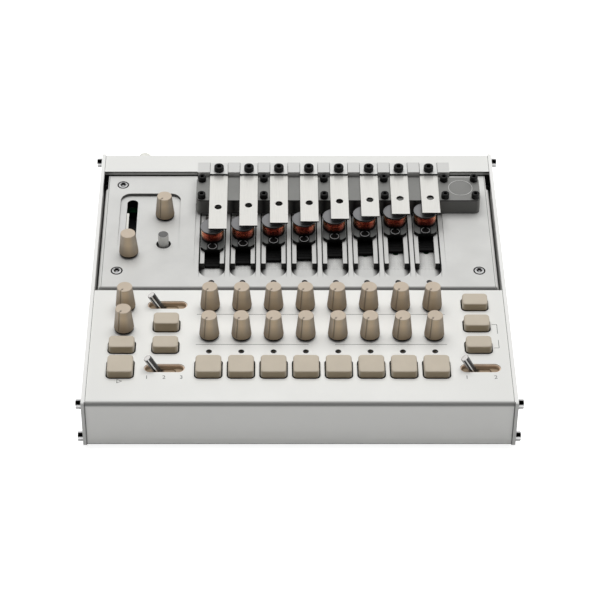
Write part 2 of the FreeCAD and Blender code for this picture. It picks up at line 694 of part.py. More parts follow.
def make_control_panel():
    """The front wall, the panel with its holes, and the shelf under the deck's front edge."""
    body = new_body("control_panel")
    section = new_sketch(body, "YZ_Plane")
    shelf_bottom = -s.flange_drop
    shelf_end = s.panel_depth + s.shelf_reach
    inner = s.panel_depth - s.shelf_thick
    corners = [
        (s.panel_depth, size(0)),
        (s.panel_depth, deck_bottom),
        (shelf_end, deck_bottom),
        (shelf_end, shelf_bottom),
        (inner, shelf_bottom),
        (inner, ceiling),
    ]
    wall_profile(section, lambda distance: size(distance), s.bend_round, corners)
    pad(body, section, s.body_width, both=True)
    drill_ports(body, lambda distance: size(distance))
    dress(body, "Fillet", s.wall / 4, lambda edge: near_line(edge, 0, s.panel_depth, 0))
    step_hole = new_sketch(body, "XY_Plane")
    opening = s.cap_width + 2 * s.cap_gap
    draw_box(step_hole, channels[0], rows[0], opening, opening)
    repeat(body, pocket(body, step_hole, s.wall * 2), len(channels), s.grid)
    other_holes = new_sketch(body, "XY_Plane")
    for label, x, y, length in buttons[len(channels):]:
        draw_box(other_holes, x, y, opening, length + 2 * s.cap_gap)
    pocket(body, other_holes, s.wall * 2)
    corner = s.cap_corner + s.cap_gap
    dress(body, "Fillet", corner, lambda edge: upright(edge) and is_button_corner(edge))
    for y, radius in (
        (s.low_knob_row, s.bush_radius + 0.3),
        (s.high_knob_row, s.bush_radius + 0.3),
        (s.lamp_row, s.lamp_radius + 0.1),
    ):
        hole = new_sketch(body, "XY_Plane")
        draw_circle(hole, channels[0], y, radius)
        repeat(body, pocket(body, hole, s.wall * 2), len(channels), s.grid)
    rest = new_sketch(body, "XY_Plane")
    for y in (s.left_low_knob, s.left_high_knob):
        draw_circle(rest, left_column + s.left_knob_shift, y, s.bush_radius + 0.3)
    for label, x, y in toggles:
        draw_slot(rest, x, y, s.toggle_slot, s.toggle_mouth)
    pocket(body, rest, s.wall * 2)
    node("control_panel", body)


def is_button_corner(edge):
    """Whether an upright edge of the panel is the corner of a button's hole."""
    middle = edge.BoundBox.Center
    for label, x, y, length in buttons:
        across = abs(abs(middle.x - x.value) - s.cap_width.value / 2 - s.cap_gap.value)
        along = abs(abs(middle.y - y.value) - length.value / 2 - s.cap_gap.value)
        if across < TINY and along < TINY:
            return True
    return False


def make_rear_shell():
    """The rear strip and the rear wall with the holes for the knob and the sockets."""
    body = new_body("rear_shell")
    section = new_sketch(body, "YZ_Plane")
    inner = strip_front + s.shelf_thick
    low = deck_bottom + 0.5
    corners = [(strip_front, size(0)), (strip_front, low), (inner, low), (inner, ceiling)]
    wall_profile(section, lambda distance: s.body_depth - distance, s.rear_round, corners)
    pad(body, section, s.body_width, both=True)
    drill_ports(body, lambda distance: s.body_depth - distance)
    holes = new_sketch(body, "XZ_Plane", -s.body_depth)
    draw_circle(holes, -s.rear_knob_x, -s.rear_knob_mid, s.bush_radius + 0.3)
    for x in LARGE_JACKS_X:
        draw_circle(holes, x, jack_z, s.jack_bore + 1.35)
    for x in MINI_JACKS_X:
        draw_circle(holes, x, mini_z, s.mini_bore + 1.3)
    draw_circle(holes, POWER_SOCKET_X, power_z, 4.1)
    draw_slot(holes, size(DATA_SOCKET_X), data_z, size(9.6), s.data_tall + 0.6)
    pocket(body, holes, s.wall, up=True)
    node("rear_shell", body)


def make_side_plates():
    """The two end plates, each with four screw holes."""
    plates = []
    for side in (-1, 1):
        body = new_body("side_plate")
        face = new_sketch(body, "YZ_Plane", half_width * side)
        near, far = -s.plate_proud, s.body_depth + s.plate_proud
        low, high = floor - s.plate_proud, s.plate_proud
        corner = s.plate_corner
        draw_outline(
            face, [(near, low, corner), (far, low, corner), (far, high, corner), (near, high, corner)]
        )
        pad(body, face, s.plate_thick, down=side < 0)
        holes = new_sketch(body, "YZ_Plane", (half_width + s.plate_thick) * side)
        for y in (s.screw_inset, s.body_depth - s.screw_inset):
            draw_circle(holes, y, -s.screw_inset, s.screw_radius + 0.2)
            draw_circle(holes, y, floor + s.screw_low_inset, s.screw_radius + 0.2)
        pocket(body, holes, s.plate_thick, up=side < 0)
        plates.append(body)
    node("side_plates", *plates)


def make_base_plate():
    """The flat base, with countersunk holes under the ribs."""
    near = s.rib_foot + 0.1
    far = s.body_depth - near
    plate = block((-half_width, near, floor), (half_width, far, base_top))
    holes = []
    for x in rib_screws_x:
        for y in (rib_screw_inset, s.body_depth - rib_screw_inset):
            holes.append(cone(s.flush_head + 0.1, bolt_bore, x, y, floor, floor + s.flush_depth))
            holes.append(rod(bolt_bore, x, y, floor, base_top))
    node("base_plate", cut(plate, *holes))


def make_feet():
    """Four rubber feet with a bevelled sole."""
    feet = []
    for x in (s.foot_inset - half_width, half_width - s.foot_inset):
        for y in (s.foot_inset, s.body_depth - s.foot_inset):
            sole = floor - s.foot_height
            rim = sole + s.foot_bevel
            disc = rod(s.foot_radius, x, y, rim, floor)
            feet.append(fuse(disc, cone(s.foot_radius - s.foot_bevel, s.foot_radius, x, y, sole, rim)))
    node("rubber_feet", *feet)


def deck_slots(body):
    """The eight slots: a round-nosed bay, two ledges with seams and a channel with a slit."""
    first = channels[0]
    left, right = first - s.slot_width / 2, first + s.slot_width / 2
    nose = (s.slot_width - s.slot_nose) / 2
    run = s.slot_rear - s.ledge_front + 1
    middle = s.slot_rear - run / 2
    for far, depth in ((s.slot_rear, s.ledge_drop), (s.ledge_front, s.channel_drop)):
        outline = new_sketch(body, "XY_Plane", deck_top)
        near_left = (left, s.slot_front, nose)
        near_right = (right, s.slot_front, nose)
        draw_outline(outline, [near_left, near_right, (right, far), (left, far)])
        repeat(body, pocket(body, outline, depth), len(channels), s.grid)
    channel = new_sketch(body, "XY_Plane", deck_top)
    draw_box(channel, first, middle, s.channel_width, run)
    repeat(body, pocket(body, channel, s.channel_drop), len(channels), s.grid)
    seams = new_sketch(body, "XY_Plane", deck_top)
    for x in (left + s.seam_width / 2, right - s.seam_width / 2):
        draw_box(seams, x, middle, s.seam_width, run)
    repeat(body, pocket(body, seams, s.seam_drop), len(channels), s.grid)
    slits = new_sketch(body, "XY_Plane", deck_top)
    far = coil_rows[-1]
    for x, y in zip(channels, coil_rows):
        near = coil_rows[0]
        if (y - near).value > s.slide_near.value:
            near = y - s.slide_near
        slit_mid = (near + far) / 2 - s.lock_ahead
        draw_slot(slits, x, slit_mid, far - near + s.nut_slit, s.nut_slit, along_y=True)
    pocket(body, slits, s.deck_thick)


def cut_dish(body, left, right, near, far, depth):
    """A shallow recess in the deck whose floor falls towards the rear."""
    side = new_sketch(body, "YZ_Plane", left)
    clear = deck_top + s.deck_drop
    draw_outline(side, [(near, deck_top), (far, deck_top - depth), (far, clear), (near, clear)])
    pocket(body, side, right - left, up=True)


def make_deck():
    """The thick deck in the recess, with its dishes, slots and holes."""
    body = new_body("deck")
    outline = new_sketch(body, "XY_Plane", deck_top)
    run = deck_rear - deck_front
    draw_box(outline, size(0), deck_front + run / 2, deck_half * 2, run)
    pad(body, outline, s.deck_thick, down=True)
    dress(body, "Fillet", s.deck_front_round, lambda edge: near_line(edge, 0, deck_front, deck_top))
    dress(body, "Fillet", s.deck_side_round, is_deck_side)
    dish_left = left_column - s.dish_left
    cut_dish(body, dish_left, deck_knob_x + s.dish_right, s.dish_front, s.dish_rear, s.dish_depth)
    dress(body, "Fillet", s.dish_round, lambda edge: upright(edge) and near_line(edge, y=s.dish_rear))
    margin = s.slot_width / 2 + s.bay_side
    bay_rear = s.bridge_front + s.bay_reach
    cut_dish(body, channels[0] - margin, channels[-1] + margin, s.bay_front, bay_rear, s.bay_depth)
    deck_slots(body)
    corner_cuts = new_sketch(body, "XY_Plane", deck_top)
    for side in (-1, 1):
        x = side * (deck_half + 1 - s.corner_notch / 2)
        draw_box(corner_cuts, x, deck_rear + 1 - s.corner_run / 2, s.corner_notch + 2, s.corner_run + 2)
    pocket(body, corner_cuts, s.deck_thick)
    lamp = new_sketch(body, "XY_Plane", deck_top)
    draw_circle(lamp, channels[0], s.deck_lamp_row, s.lamp_radius + 0.1)
    repeat(body, pocket(body, lamp, s.deck_thick), len(channels), s.grid)
    holes = new_sketch(body, "XY_Plane", deck_top)
    fader_run = s.fader_travel + s.fader_past + s.fader_mouth
    draw_slot(holes, left_column, fader_mid + s.fader_past / 2, fader_run, s.fader_mouth, along_y=True)
    draw_circle(holes, deck_knob_x, s.deck_knob_row, s.bush_radius + 0.3)
    draw_circle(holes, deck_knob_x, s.pipe_row, s.pipe_hole)
    for x in (-deck_screw_x, deck_screw_x):
        for y in (s.deck_screw_front, s.deck_screw_rear):
            draw_circle(holes, x, y, bolt_bore)
    for x in bridge_screws_x:
        for y in bridge_screws_y:
            draw_circle(holes, x, y, small_bore)
    for x in reeds:
        draw_circle(holes, x, clamp_screw_y, bolt_bore)
    pocket(body, holes, s.deck_thick)
    sinks = [
        cone(bolt_bore, s.flush_head + 0.1, x, y, deck_top - s.flush_depth, deck_top)
        for x in (-deck_screw_x, deck_screw_x)
        for y in (s.deck_screw_front, s.deck_screw_rear)
    ]
    node("deck_plate", cut(body, *sinks))


def is_deck_side(edge):
    """Whether an edge is the deck's left or right top edge."""
    return at_height(edge, deck_top) and abs(abs(edge.BoundBox.Center.x) - deck_half.value) < TINY


def make_bridge():
    """The metal block on the deck under the reeds."""
    body = new_body("resonator_bridge")
    outline = new_sketch(body, "XY_Plane", deck_top)
    corners = ((bridge_left, s.bridge_front), (s.bridge_right, s.bridge_front))
    corners += ((s.bridge_right, bridge_rear), (bridge_left, bridge_rear))
    draw_outline(outline, [(x, y, s.bridge_corner) for x, y in corners])
    pad(body, outline, s.bridge_top + s.deck_drop)
    holes = new_sketch(body, "XY_Plane", s.bridge_top)
    for x in bridge_screws_x:
        for y in bridge_screws_y:
            draw_circle(holes, x, y, small_bore)
    pocket(body, holes, s.bridge_top + s.deck_drop)
    node("resonator_bridge", body)


def make_rail():
    """The notched rail behind the bridge that carries the reeds, with a clamp plate on every reed."""
    body = new_body("rail")
    outline = new_sketch(body, "XY_Plane", deck_top)
    left, right = reeds[0] - s.rail_left, reeds[-1] + s.rail_right
    draw_box(outline, (left + right) / 2, s.rail_front + s.rail_depth / 2, right - left, s.rail_depth)
    pad(body, outline, clamp_top - deck_top)
    notch = new_sketch(body, "XY_Plane", clamp_top)
    near = s.rail_front - 1
    far = rail_rear + 1
    draw_box(notch, reeds[0], (near + far) / 2, s.reed_width + s.notch_gap * 2, far - near)
    repeat(body, pocket(body, notch, clamp_top - reed_bottom), len(reeds), s.grid)
    bore = new_sketch(body, "XY_Plane", reed_bottom)
    draw_circle(bore, reeds[0], clamp_screw_y, bolt_bore)
    repeat(body, pocket(body, bore, reed_bottom - deck_top), len(reeds), s.grid)
    plates = []
    for x in reeds:
        low = (x - s.reed_width / 2, s.clamp_front, reed_top)
        high = (x + s.reed_width / 2, s.clamp_front + s.clamp_depth, clamp_top)
        plates.append(cut(block(low, high), rod(bolt_bore, x, clamp_screw_y, reed_top, clamp_top)))
    node("clamp_rail", body, *plates)


def make_reeds():
    """Eight flat steel reeds whose free lengths follow a scale."""
    strips = []
    for x, length in zip(reeds, reed_lengths):
        tip = s.clamp_front - length
        low = (x - s.reed_width / 2, tip, reed_bottom)
        high = (x + s.reed_width / 2, s.clamp_front + s.clamp_depth, reed_top)
        hole = rod(s.reed_hole, x, tip + length * s.reed_hole_share, reed_bottom, reed_top)
        bore = rod(bolt_bore, x, clamp_screw_y, reed_bottom, reed_top)
        strips.append(cut(block(low, high), hole, bore))
    node("resonators", *strips)


def make_carriage(number, x, y):
    """One coil on its sliding carriage, with its lock screw and the nut below the deck."""
    body = new_body("carriage")
    ledge = deck_top - s.ledge_drop + s.slide_gap
    bottom = deck_top - s.channel_drop + s.slide_gap
    bracket_top = deck_top + 0.4
    foot_half = s.channel_width / 2 - s.slide_gap
    waist = s.bracket_ahead + s.bracket_half - foot_half
    bracket = new_sketch(body, "XY_Plane", ledge)
    draw_outline(
        bracket,
        [
            (-foot_half, -waist),
            (foot_half, -waist),
            (s.bracket_half, -s.bracket_ahead),
            (s.bracket_half, s.bracket_half),
            (-s.bracket_half, s.bracket_half),
            (-s.bracket_half, -s.bracket_ahead),
        ],
    )
    pad(body, bracket, bracket_top - ledge)
    foot = new_sketch(body, "XY_Plane", bottom)
    foot_run = s.bracket_ahead + s.bracket_half
    draw_box(foot, size(0), s.bracket_half - foot_run / 2, foot_half * 2, foot_run)
    pad(body, foot, ledge - bottom)
    tongue = new_sketch(body, "XY_Plane", bottom)
    tongue_run = s.tongue_ahead - s.bracket_ahead + 1
    draw_box(tongue, size(0), tongue_run / 2 - s.tongue_ahead, foot_half * 2, tongue_run)
    pad(body, tongue, s.tongue_thick)
    holes = new_sketch(body, "XY_Plane", bracket_top)
    draw_circle(holes, size(0), -s.lock_ahead, small_bore)
    pocket(body, holes, bracket_top - bottom)
    sink = new_sketch(body, "XY_Plane", bracket_top)
    draw_circle(sink, size(0), -s.lock_ahead, s.small_head + 0.15)
    pocket(body, sink, s.small_head_height)
    winding_bottom = bracket_top + s.flange_thick
    winding_top = winding_bottom + s.winding_height
    bobbin = fuse(
        rod(s.bracket_half, 0, 0, bracket_top, winding_bottom),
        rod(s.core_radius, 0, 0, winding_bottom, winding_top),
        rod(s.disc_radius, 0, 0, winding_top, s.disc_top),
    )
    coil = rod(s.winding_radius, 0, 0, winding_bottom, winding_top)
    winding = cut(coil, rod(s.core_radius, 0, 0, winding_bottom, winding_top))
    nut_top = deck_bottom - s.slide_gap
    nut_bottom = nut_top - s.nut_thick
    half = s.nut_width / 2
    square = block((-half, -s.lock_ahead - half, nut_bottom), (half, half - s.lock_ahead, nut_top))
    nut = cut(square, rod(small_bore, 0, -s.lock_ahead, nut_bottom, nut_top))
    seat = bracket_top - s.small_head_height
    lock = screw(s.small_screw, seat - nut_bottom, s.small_head, s.small_head_height - 0.4)
    locate(lock, 0, -s.lock_ahead, seat)
    node(f"coil_carriage_{number}", body, bobbin, winding, lock, nut, x=x, y=y)


def screw(radius, length, head, tall):
    """A cap screw with a hexagon socket; the underside of its head is at z = 0."""
    socket = doc.addObject("Part::Prism", "socket")
    socket.Polygon = 6
    bind(socket, Circumradius=head * 0.52, Height=tall)
    locate(socket, 0, 0, tall * 0.4)
    return cut(fuse(rod(head, 0, 0, 0, tall), rod(radius, 0, 0, -length, 0)), socket)


def flush_screw(length):
    """A countersunk M3 screw with a hexagon socket; the top of its head is at z = 0."""
    socket = doc.addObject("Part::Prism", "socket")
    socket.Polygon = 6
    bind(socket, Circumradius=s.screw_radius * 0.8, Height=s.flush_depth)
    locate(socket, 0, 0, s.flush_depth * -0.6)
    head = cone(s.screw_radius, s.flush_head, 0, 0, -s.flush_depth, 0)
    return cut(fuse(head, rod(s.screw_radius, 0, 0, -length, -s.flush_depth)), socket)


def knob_cap(pointer=True):
    """A tapered knob cap with a bore; the pointer's groove and mark lie towards -y."""
    body = new_body("cap")
    side = new_sketch(body, "XZ_Plane")
    bore = s.shaft_radius + s.screw_fit
    bore_top = s.knob_gap + s.knob_bore
    shoulder = knob_top - s.knob_rim
    draw_outline(
        side,
        [
            (bore, s.knob_gap),
            (s.knob_base - s.knob_bevel, s.knob_gap),
            (s.knob_base, s.knob_gap + s.knob_bevel),
            (s.knob_crown, shoulder),
            (s.knob_crown - s.knob_rim, knob_top),
            (size(0), knob_top),
            (size(0), bore_top),
            (bore, bore_top),
        ],
    )
    solid = body.newObject("PartDesign::Revolution", "revolution")
    solid.Profile = side
    solid.ReferenceAxis = (origin_feature(body, "Z_Axis"), [""])
    solid.Angle = 360
    doc.recompute()
    if not pointer:
        return body
    groove = new_sketch(body, "YZ_Plane", -s.groove_width / 2)
    low = s.knob_gap + s.knob_bevel
    draw_outline(
        groove,
        [
            (s.groove_depth - s.knob_base, low),
            (-s.knob_base - 1, low),
            (-s.knob_base - 1, knob_top),
            (s.groove_depth - s.knob_crown, knob_top),
            (s.groove_depth - s.knob_crown, shoulder),
        ],
    )
    pocket(body, groove, s.groove_width, up=True)
    mark = new_sketch(body, "XY_Plane", knob_top)
    draw_box(mark, size(0), -(s.dot_near + s.dot_far) / 2, s.groove_width, s.dot_far - s.dot_near)
    pocket(body, mark, s.groove_depth)
    return body


def make_knob(label, x, y, z, shaft_end):
    """A knob on its shaft, turned to its rest; z is the surface that it stands over."""
    cap = turn(knob_cap(), (0, 0, 1), s.pointer_rest - 270)
    shaft = rod(s.shaft_radius, 0, 0, shaft_end - z, s.knob_gap + s.knob_bore)
    node(label, cap, shaft, x=x, y=y, z=z)


def make_knobs():
    """The knobs of the panel, the deck and the rear wall."""
    for label, x, y in panel_knobs:
        make_knob(label, x, y, size(0), board_top + 1.3)
    make_knob("deck_knob", deck_knob_x, s.deck_knob_row, deck_knob_z, driver_top + 1.3)
    cap = turn(knob_cap(), (0, 0, 1), s.pointer_rest - 90)
    shaft = rod(s.shaft_radius, 0, 0, 1.8 - s.pot_height - s.wall - 3, s.knob_gap + s.knob_bore)
    knob = turn(compound(cap, shaft), (-1, 0, 0), 90)
    node("rear_wall_knob", knob, x=-s.rear_knob_x, y=s.body_depth, z=-s.rear_knob_mid)


def compound(*parts):
    """Several solids that stay apart."""
    obj = doc.addObject("Part::Compound", "group")
    obj.Links = list(parts)
    return obj


def make_fader():
    """The cap of the fader on its stem, with the block that slides in the housing."""
    cap = locate(knob_cap(pointer=False), 0, 0, deck_top)
    top = deck_top + s.knob_gap + s.knob_bore
    block_top = driver_top + s.fader_tall - 0.5
    half = s.fader_body / 2 - 2.1
    slider = fuse(
        block((-half, size(-3.5), block_top - 4), (half, size(3.5), block_top)),
        block((size(-1.5), size(-2), block_top), (size(1.5), size(2), top)),
    )
    node("fader_cap", cap, slider, x=left_column, y=s.fader_front)


def make_button(label, x, y, length):
    """A button cap with its skirt under the panel and its plunger."""
    body = new_body(label)
    skirt_top = ceiling - s.skirt_gap
    top = s.cap_height + s.cap_raise if label == "menu_button_2" else s.cap_height
    across, along = s.cap_width / 2, length / 2
    cap = new_sketch(body, "XY_Plane", skirt_top)
    corners = ((-across, -along), (across, -along), (across, along), (-across, along))
    draw_outline(cap, [(left, near, s.cap_corner) for left, near in corners])
    pad(body, cap, top - skirt_top)
    dress(body, "Fillet", s.cap_edge, lambda edge: at_height(edge, top))
    skirt = new_sketch(body, "XY_Plane", skirt_top)
    draw_box(skirt, size(0), size(0), s.cap_width + s.skirt_reach * 2, length + s.skirt_reach * 2)
    pad(body, skirt, s.skirt_thick, down=True)
    plunger = new_sketch(body, "XY_Plane", skirt_top - s.skirt_thick)
    draw_circle(plunger, 0, 0, s.plunger_radius)
    pad(body, plunger, skirt_top - s.skirt_thick - board_top - 3, down=True)
    node(label, body, x=x, y=y)


def make_lever(label, x, y):
    """A toggle's lever with its hub, leaning to the left about the pin at its origin."""
    edge = s.lever_length - s.lever_bevel
    half = s.hub_width / 2
    hub = rod_back(s.hub_radius, 0, 0, -half, half)
    neck = cone(s.lever_neck, s.lever_tip, 0, 0, 0, edge)
    tip = cone(s.lever_tip, s.lever_tip - s.lever_bevel, 0, 0, edge, s.lever_length)
    bore = rod_back(s.pin_radius + s.run_fit, 0, 0, -s.hub_width, s.hub_width)
    lever = turn(cut(fuse(hub, neck, tip), bore), (0, -1, 0), s.lever_lean)
    node(label, lever, x=x, y=y, z=-s.lever_depth)


def make_trim():
    """The liners in the toggles' slots and the clear light pipe in the deck."""
    brim_bottom = ceiling - 1.2
    parts = []
    for label, x, y in toggles:
        body = new_body("liner")
        long, wide = s.toggle_slot - 0.1, s.toggle_mouth - 0.1
        wall = new_sketch(body, "XY_Plane", ceiling)
        draw_slot(wall, x, y, long, wide)
        pad(body, wall, s.wall - 0.3)
        brim = new_sketch(body, "XY_Plane", brim_bottom)
        draw_box(brim, x, y, long + s.liner_brim * 2, wide + s.liner_brim * 2)
        pad(body, brim, ceiling - brim_bottom)
        inside = new_sketch(body, "XY_Plane")
        draw_slot(inside, x, y, long - s.liner_wall * 2, wide - s.liner_wall * 2)
        pocket(body, inside, 0.6 - ceiling)
        slit = new_sketch(body, "XY_Plane")
        draw_slot(slit, x, y, long - 8.2, wide - 1.9)
        pocket(body, slit, s.wall * 2)
        parts.append(body)
    low, high = driver_top + 1.6, s.pipe_top - 0.5
    pipe = rod(s.pipe_radius, deck_knob_x, s.pipe_row, low, high)
    tip = cone(s.pipe_radius, s.pipe_radius - 0.5, deck_knob_x, s.pipe_row, high, s.pipe_top)
    node("trim_inserts", *parts, fuse(pipe, tip))


def pot(x, y, board, bush_top):
    """The housing of a pot on a board, with its bush and the bore of its shaft."""
    low = (x - s.pot_width / 2, y - s.pot_length / 2, board)
    high = (x + s.pot_width / 2, y + s.pot_length / 2, board + s.pot_height)
    bush = rod(s.bush_radius, x, y, board + s.pot_height, bush_top)
    bore = rod(s.shaft_radius + s.run_fit, x, y, board + 1, bush_top)
    return cut(fuse(block(low, high), bush), bore)


def push_switch(x, y):
    """The housing of a push switch with the bore of its plunger."""
    half = s.switch_width / 2
    top = board_top + s.switch_height
    housing = block((x - half, y - half, board_top), (x + half, y + half, top))
    return cut(housing, rod(s.plunger_radius + s.run_fit, x, y, board_top + 1.5, top))


def toggle_housing(x, y):
    """The housing of a toggle: a hollow box with the lever's pin across it."""
    top = ceiling - 1.2
    along, across = s.toggle_length / 2, s.toggle_width / 2
    outside = block((x - along, y - across, board_top), (x + along, y + across, top))
    inner = s.hub_width / 2 + 0.3
    hollow = block((x + 1.2 - along, y - inner, board_top + 0.6), (x - 1.2 + along, y + inner, top))
    pin = rod_back(s.pin_radius, x, -s.lever_depth, y - across, y + across)
    return fuse(cut(outside, hollow), pin)


def board(low, high, screws):
    """A circuit board with holes for its screws."""
    bottom = high[2] - s.board_thick
    holes = [rod(small_bore, x, y, bottom, high[2]) for x, y in screws]
    return cut(block((*low, bottom), high), *holes)


def fader_housing():
    """The housing of the fader with its long open groove."""
    half = s.fader_body / 2
    top = driver_top + s.fader_tall
    near = fader_mid - s.fader_travel / 2 - s.fader_end
    far = fader_mid + s.fader_travel / 2 + s.fader_end
    housing = block((left_column - half, near, driver_top), (left_column + half, far, top))
    low = (left_column - half + 2, near + 3.5, driver_top + 2.2)
    return cut(housing, block(low, (left_column + half - 2, far - 3.5, top)))


def rear_pot():
    """The pot behind the rear wall, lying on its side."""
    x, z = -s.rear_knob_x, -s.rear_knob_mid
    far = s.body_depth - s.wall - 2.5
    near = far - s.pot_height
    half = s.pot_width / 2
    housing = block((x - half, near, rear_board_top), (x + half, far, z + s.pot_length / 2))
    bush = rod_back(s.bush_radius, x, z, far, s.body_depth - 0.3)
    return cut(fuse(housing, bush), rod_back(s.shaft_radius + s.run_fit, x, z, near + 1, s.body_depth - 0.3))


side_reach = half_width - s.board_gap
main_screws = [(x, y) for y in (16.0, 101.5) for x in (3 - side_reach, s.channel_mid, side_reach - 3)]
driver_left, driver_right = 3.5 - deck_half - 0.3, size(92.0)
driver_screws = [(x, y) for y in (118.0, 176.0) for x in (driver_left + 2.6, driver_right - 4)]
rear_screws = [(x, size(188.0)) for x in (size(-90.5), size(91.5))]


def make_boards():
    """The three boards with the pots, switches, toggles, lamps and the fader's housing."""
    near = (-side_reach, s.wall + s.board_gap)
    parts = [
        board(near, (side_reach, s.board_reach, board_top), main_screws),
        board((driver_left, s.driver_front), (driver_right, s.driver_rear, driver_top), driver_screws),
        board((size(-94.5), size(183.5)), (size(94.5), size(203.0), rear_board_top), rear_screws),
        fader_housing(),
        rear_pot(),
        pot(deck_knob_x, s.deck_knob_row, driver_top, deck_knob_z - 0.3),
        rod(s.core_radius, deck_knob_x, s.pipe_row, driver_top, driver_top + 1.6),
    ]
    parts += [pot(x, y, board_top, size(-0.3)) for label, x, y in panel_knobs]
    parts += [push_switch(x, y) for label, x, y, length in buttons]
    parts += [toggle_housing(x, y) for label, x, y in toggles]
    for x in channels:
        parts.append(rod(s.lamp_radius, x, s.lamp_row, board_top, -s.lamp_sink))
        parts.append(rod(s.lamp_radius, x, s.deck_lamp_row, board_top, deck_top - s.lamp_sink))
    node("circuit_boards", *parts)


def jack(x, z, bore, width, length, tall, nozzle, reach):
    """A jack socket on the rear board, with its nozzle through the wall and its nut."""
    inside = s.body_depth - s.wall
    end = s.body_depth + s.nozzle_proud
    low = (x - width / 2, inside - length, rear_board_top)
    housing = block(low, (x + width / 2, inside, rear_board_top + tall))
    tube = rod_back(nozzle, x, z, inside, end)
    body = cut(fuse(housing, tube), rod_back(bore, x, z, end - reach, end))
    outer = rod_back(nozzle + 1.5, x, z, s.body_depth, s.body_depth + s.nut_proud)
    return body, cut(outer, rod_back(nozzle, x, z, s.body_depth, s.body_depth + s.nut_proud))


def make_sockets():
    """The sockets behind the rear wall: two large jacks, four small ones, data and power."""
    parts = []
    large = (s.jack_width, s.jack_length, s.jack_tall, s.jack_bore + 1.25, s.jack_reach)
    small = (s.mini_width, s.mini_length, s.mini_tall, s.mini_bore + 1.2, s.mini_reach)
    for x in LARGE_JACKS_X:
        parts += jack(size(x), jack_z, s.jack_bore, *large)
    for x in MINI_JACKS_X:
        parts += jack(size(x), mini_z, s.mini_bore, *small)
    inside = s.body_depth - s.wall
    x = size(POWER_SOCKET_X)
    low = (x - 4.5, inside - 13, rear_board_top)
    housing = block(low, (x + 4.5, inside, rear_board_top + s.power_tall))
    tube = rod_back(4, x, power_z, inside, s.body_depth + 0.4)
    bore = rod_back(2.75, x, power_z, s.body_depth - 9, s.body_depth + 0.4)
    parts += [cut(fuse(housing, tube), bore), rod_back(1, x, power_z, s.body_depth - 9, s.body_depth - 0.5)]
    shell = new_body("data_socket")
    face = new_sketch(shell, "XZ_Plane", 0.4 - s.body_depth)
    draw_slot(face, size(DATA_SOCKET_X), data_z, size(9.0), s.data_tall)
    pad(shell, face, 8)
    mouth = new_sketch(shell, "XZ_Plane", 0.4 - s.body_depth)
    draw_slot(mouth, size(DATA_SOCKET_X), data_z, size(8.3), s.data_tall - 0.7)
    pocket(shell, mouth, 6.5, up=True)
    x = size(DATA_SOCKET_X)
    low = (x - 3.3, s.body_depth - 6.9, data_z - 0.35)
    parts += [shell, block(low, (x + 3.3, s.body_depth - 1.2, data_z + 0.35))]
    node("rear_sockets", *parts)


def make_fasteners():
    """Every screw of the shell, the deck posts and the board spacers with their screws."""
    parts = []
    for side in (-1, 1):
        for y in (s.screw_inset, s.body_depth - s.screw_inset):
            for z in (-s.screw_inset, floor + s.screw_low_inset):
                bolt = screw(s.screw_radius, s.side_screw_length, s.screw_head, s.screw_head_height)
                turn(bolt, (0, side, 0), 90)
                parts.append(locate(bolt, (half_width + s.plate_thick) * side, y, z))
    for x in (-deck_screw_x, deck_screw_x):
        for y in (s.deck_screw_front, s.deck_screw_rear):
            parts.append(locate(flush_screw(14), x, y, deck_top))
            post = rod(s.post_radius, x, y, base_top, deck_bottom)
            parts.append(cut(post, rod(bolt_bore, x, y, deck_bottom - 8, deck_bottom)))
    for x in rib_screws_x:
        for y in (rib_screw_inset, s.body_depth - rib_screw_inset):
            parts.append(locate(turn(flush_screw(5.5), (1, 0, 0), 180), x, y, floor))
    for x in reeds:
        bolt = screw(s.screw_radius, clamp_top - deck_bottom - 0.3, s.screw_head, s.screw_head_height)
        parts.append(locate(bolt, x, clamp_screw_y, clamp_top))
    for x in bridge_screws_x:
        for y in bridge_screws_y:
            bolt = screw(s.small_screw, s.bridge_top - deck_bottom - 0.3, s.small_head, s.small_head_height)
            parts.append(locate(bolt, x, y, s.bridge_top))
    for top, places in ((board_top, main_screws), (driver_top, driver_screws), (rear_board_top, rear_screws)):
        bottom = top - s.board_thick
        for x, y in places:
            spacer = rod(s.spacer_radius, x, y, base_top, bottom)
            parts.append(cut(spacer, rod(small_bore, x, y, bottom - 4, bottom)))
            parts.append(locate(screw(s.small_screw, 5, 2.4, 1.6), x, y, top))
    node("fasteners", *parts)


def make_all():
    """Every sub-part, in the order of the record."""
    make_control_panel()
    make_rear_shell()
    make_side_plates()
    make_base_plate()
    make_feet()
    make_deck()
    make_bridge()
    make_rail()
    make_reeds()
    for number, (x, y) in enumerate(zip(channels, coil_rows), start=1):
        make_carriage(number, x, y)
    make_fader()
    for toggle in toggles:
        make_lever(*toggle)
    for button in buttons:
        make_button(*button)
    make_knobs()
    make_trim()
    make_boards()
    make_sockets()
    make_fasteners()


def check_all():
    """Stop if an object failed, a sketch is loose or a shape isn't sound."""
    for obj in doc.Objects:
        if "Invalid" in obj.State or "Error" in obj.State:
            raise RuntimeError(f"{obj.Name} failed: {obj.State}")
        if obj.TypeId == "Sketcher::SketchObject" and not obj.FullyConstrained:
            raise RuntimeError(f"{obj.Name} isn't fully dimensioned")
    for obj in nodes:
        if obj.Shape.isNull() or not obj.Shape.isValid() or not obj.Shape.Solids:
            raise RuntimeError(f"{obj.Label} has no sound solid")


def export_all():
    """One STEP file for every sub-part."""
    os.makedirs("parts", exist_ok=True)
    for obj in nodes:
        obj.Shape.exportStep(f"parts/{obj.Label}.step")
        box = obj.Shape.BoundBox
        print(f"{obj.Label}: {len(obj.Shape.Solids)} solids, z {box.ZMin:.2f} to {box.ZMax:.2f}")


make_all()
doc.recompute()
check_all()
export_all()
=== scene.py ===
"""A desktop synthesizer with sliding coils under steel reeds, dressed over its CAD frame."""

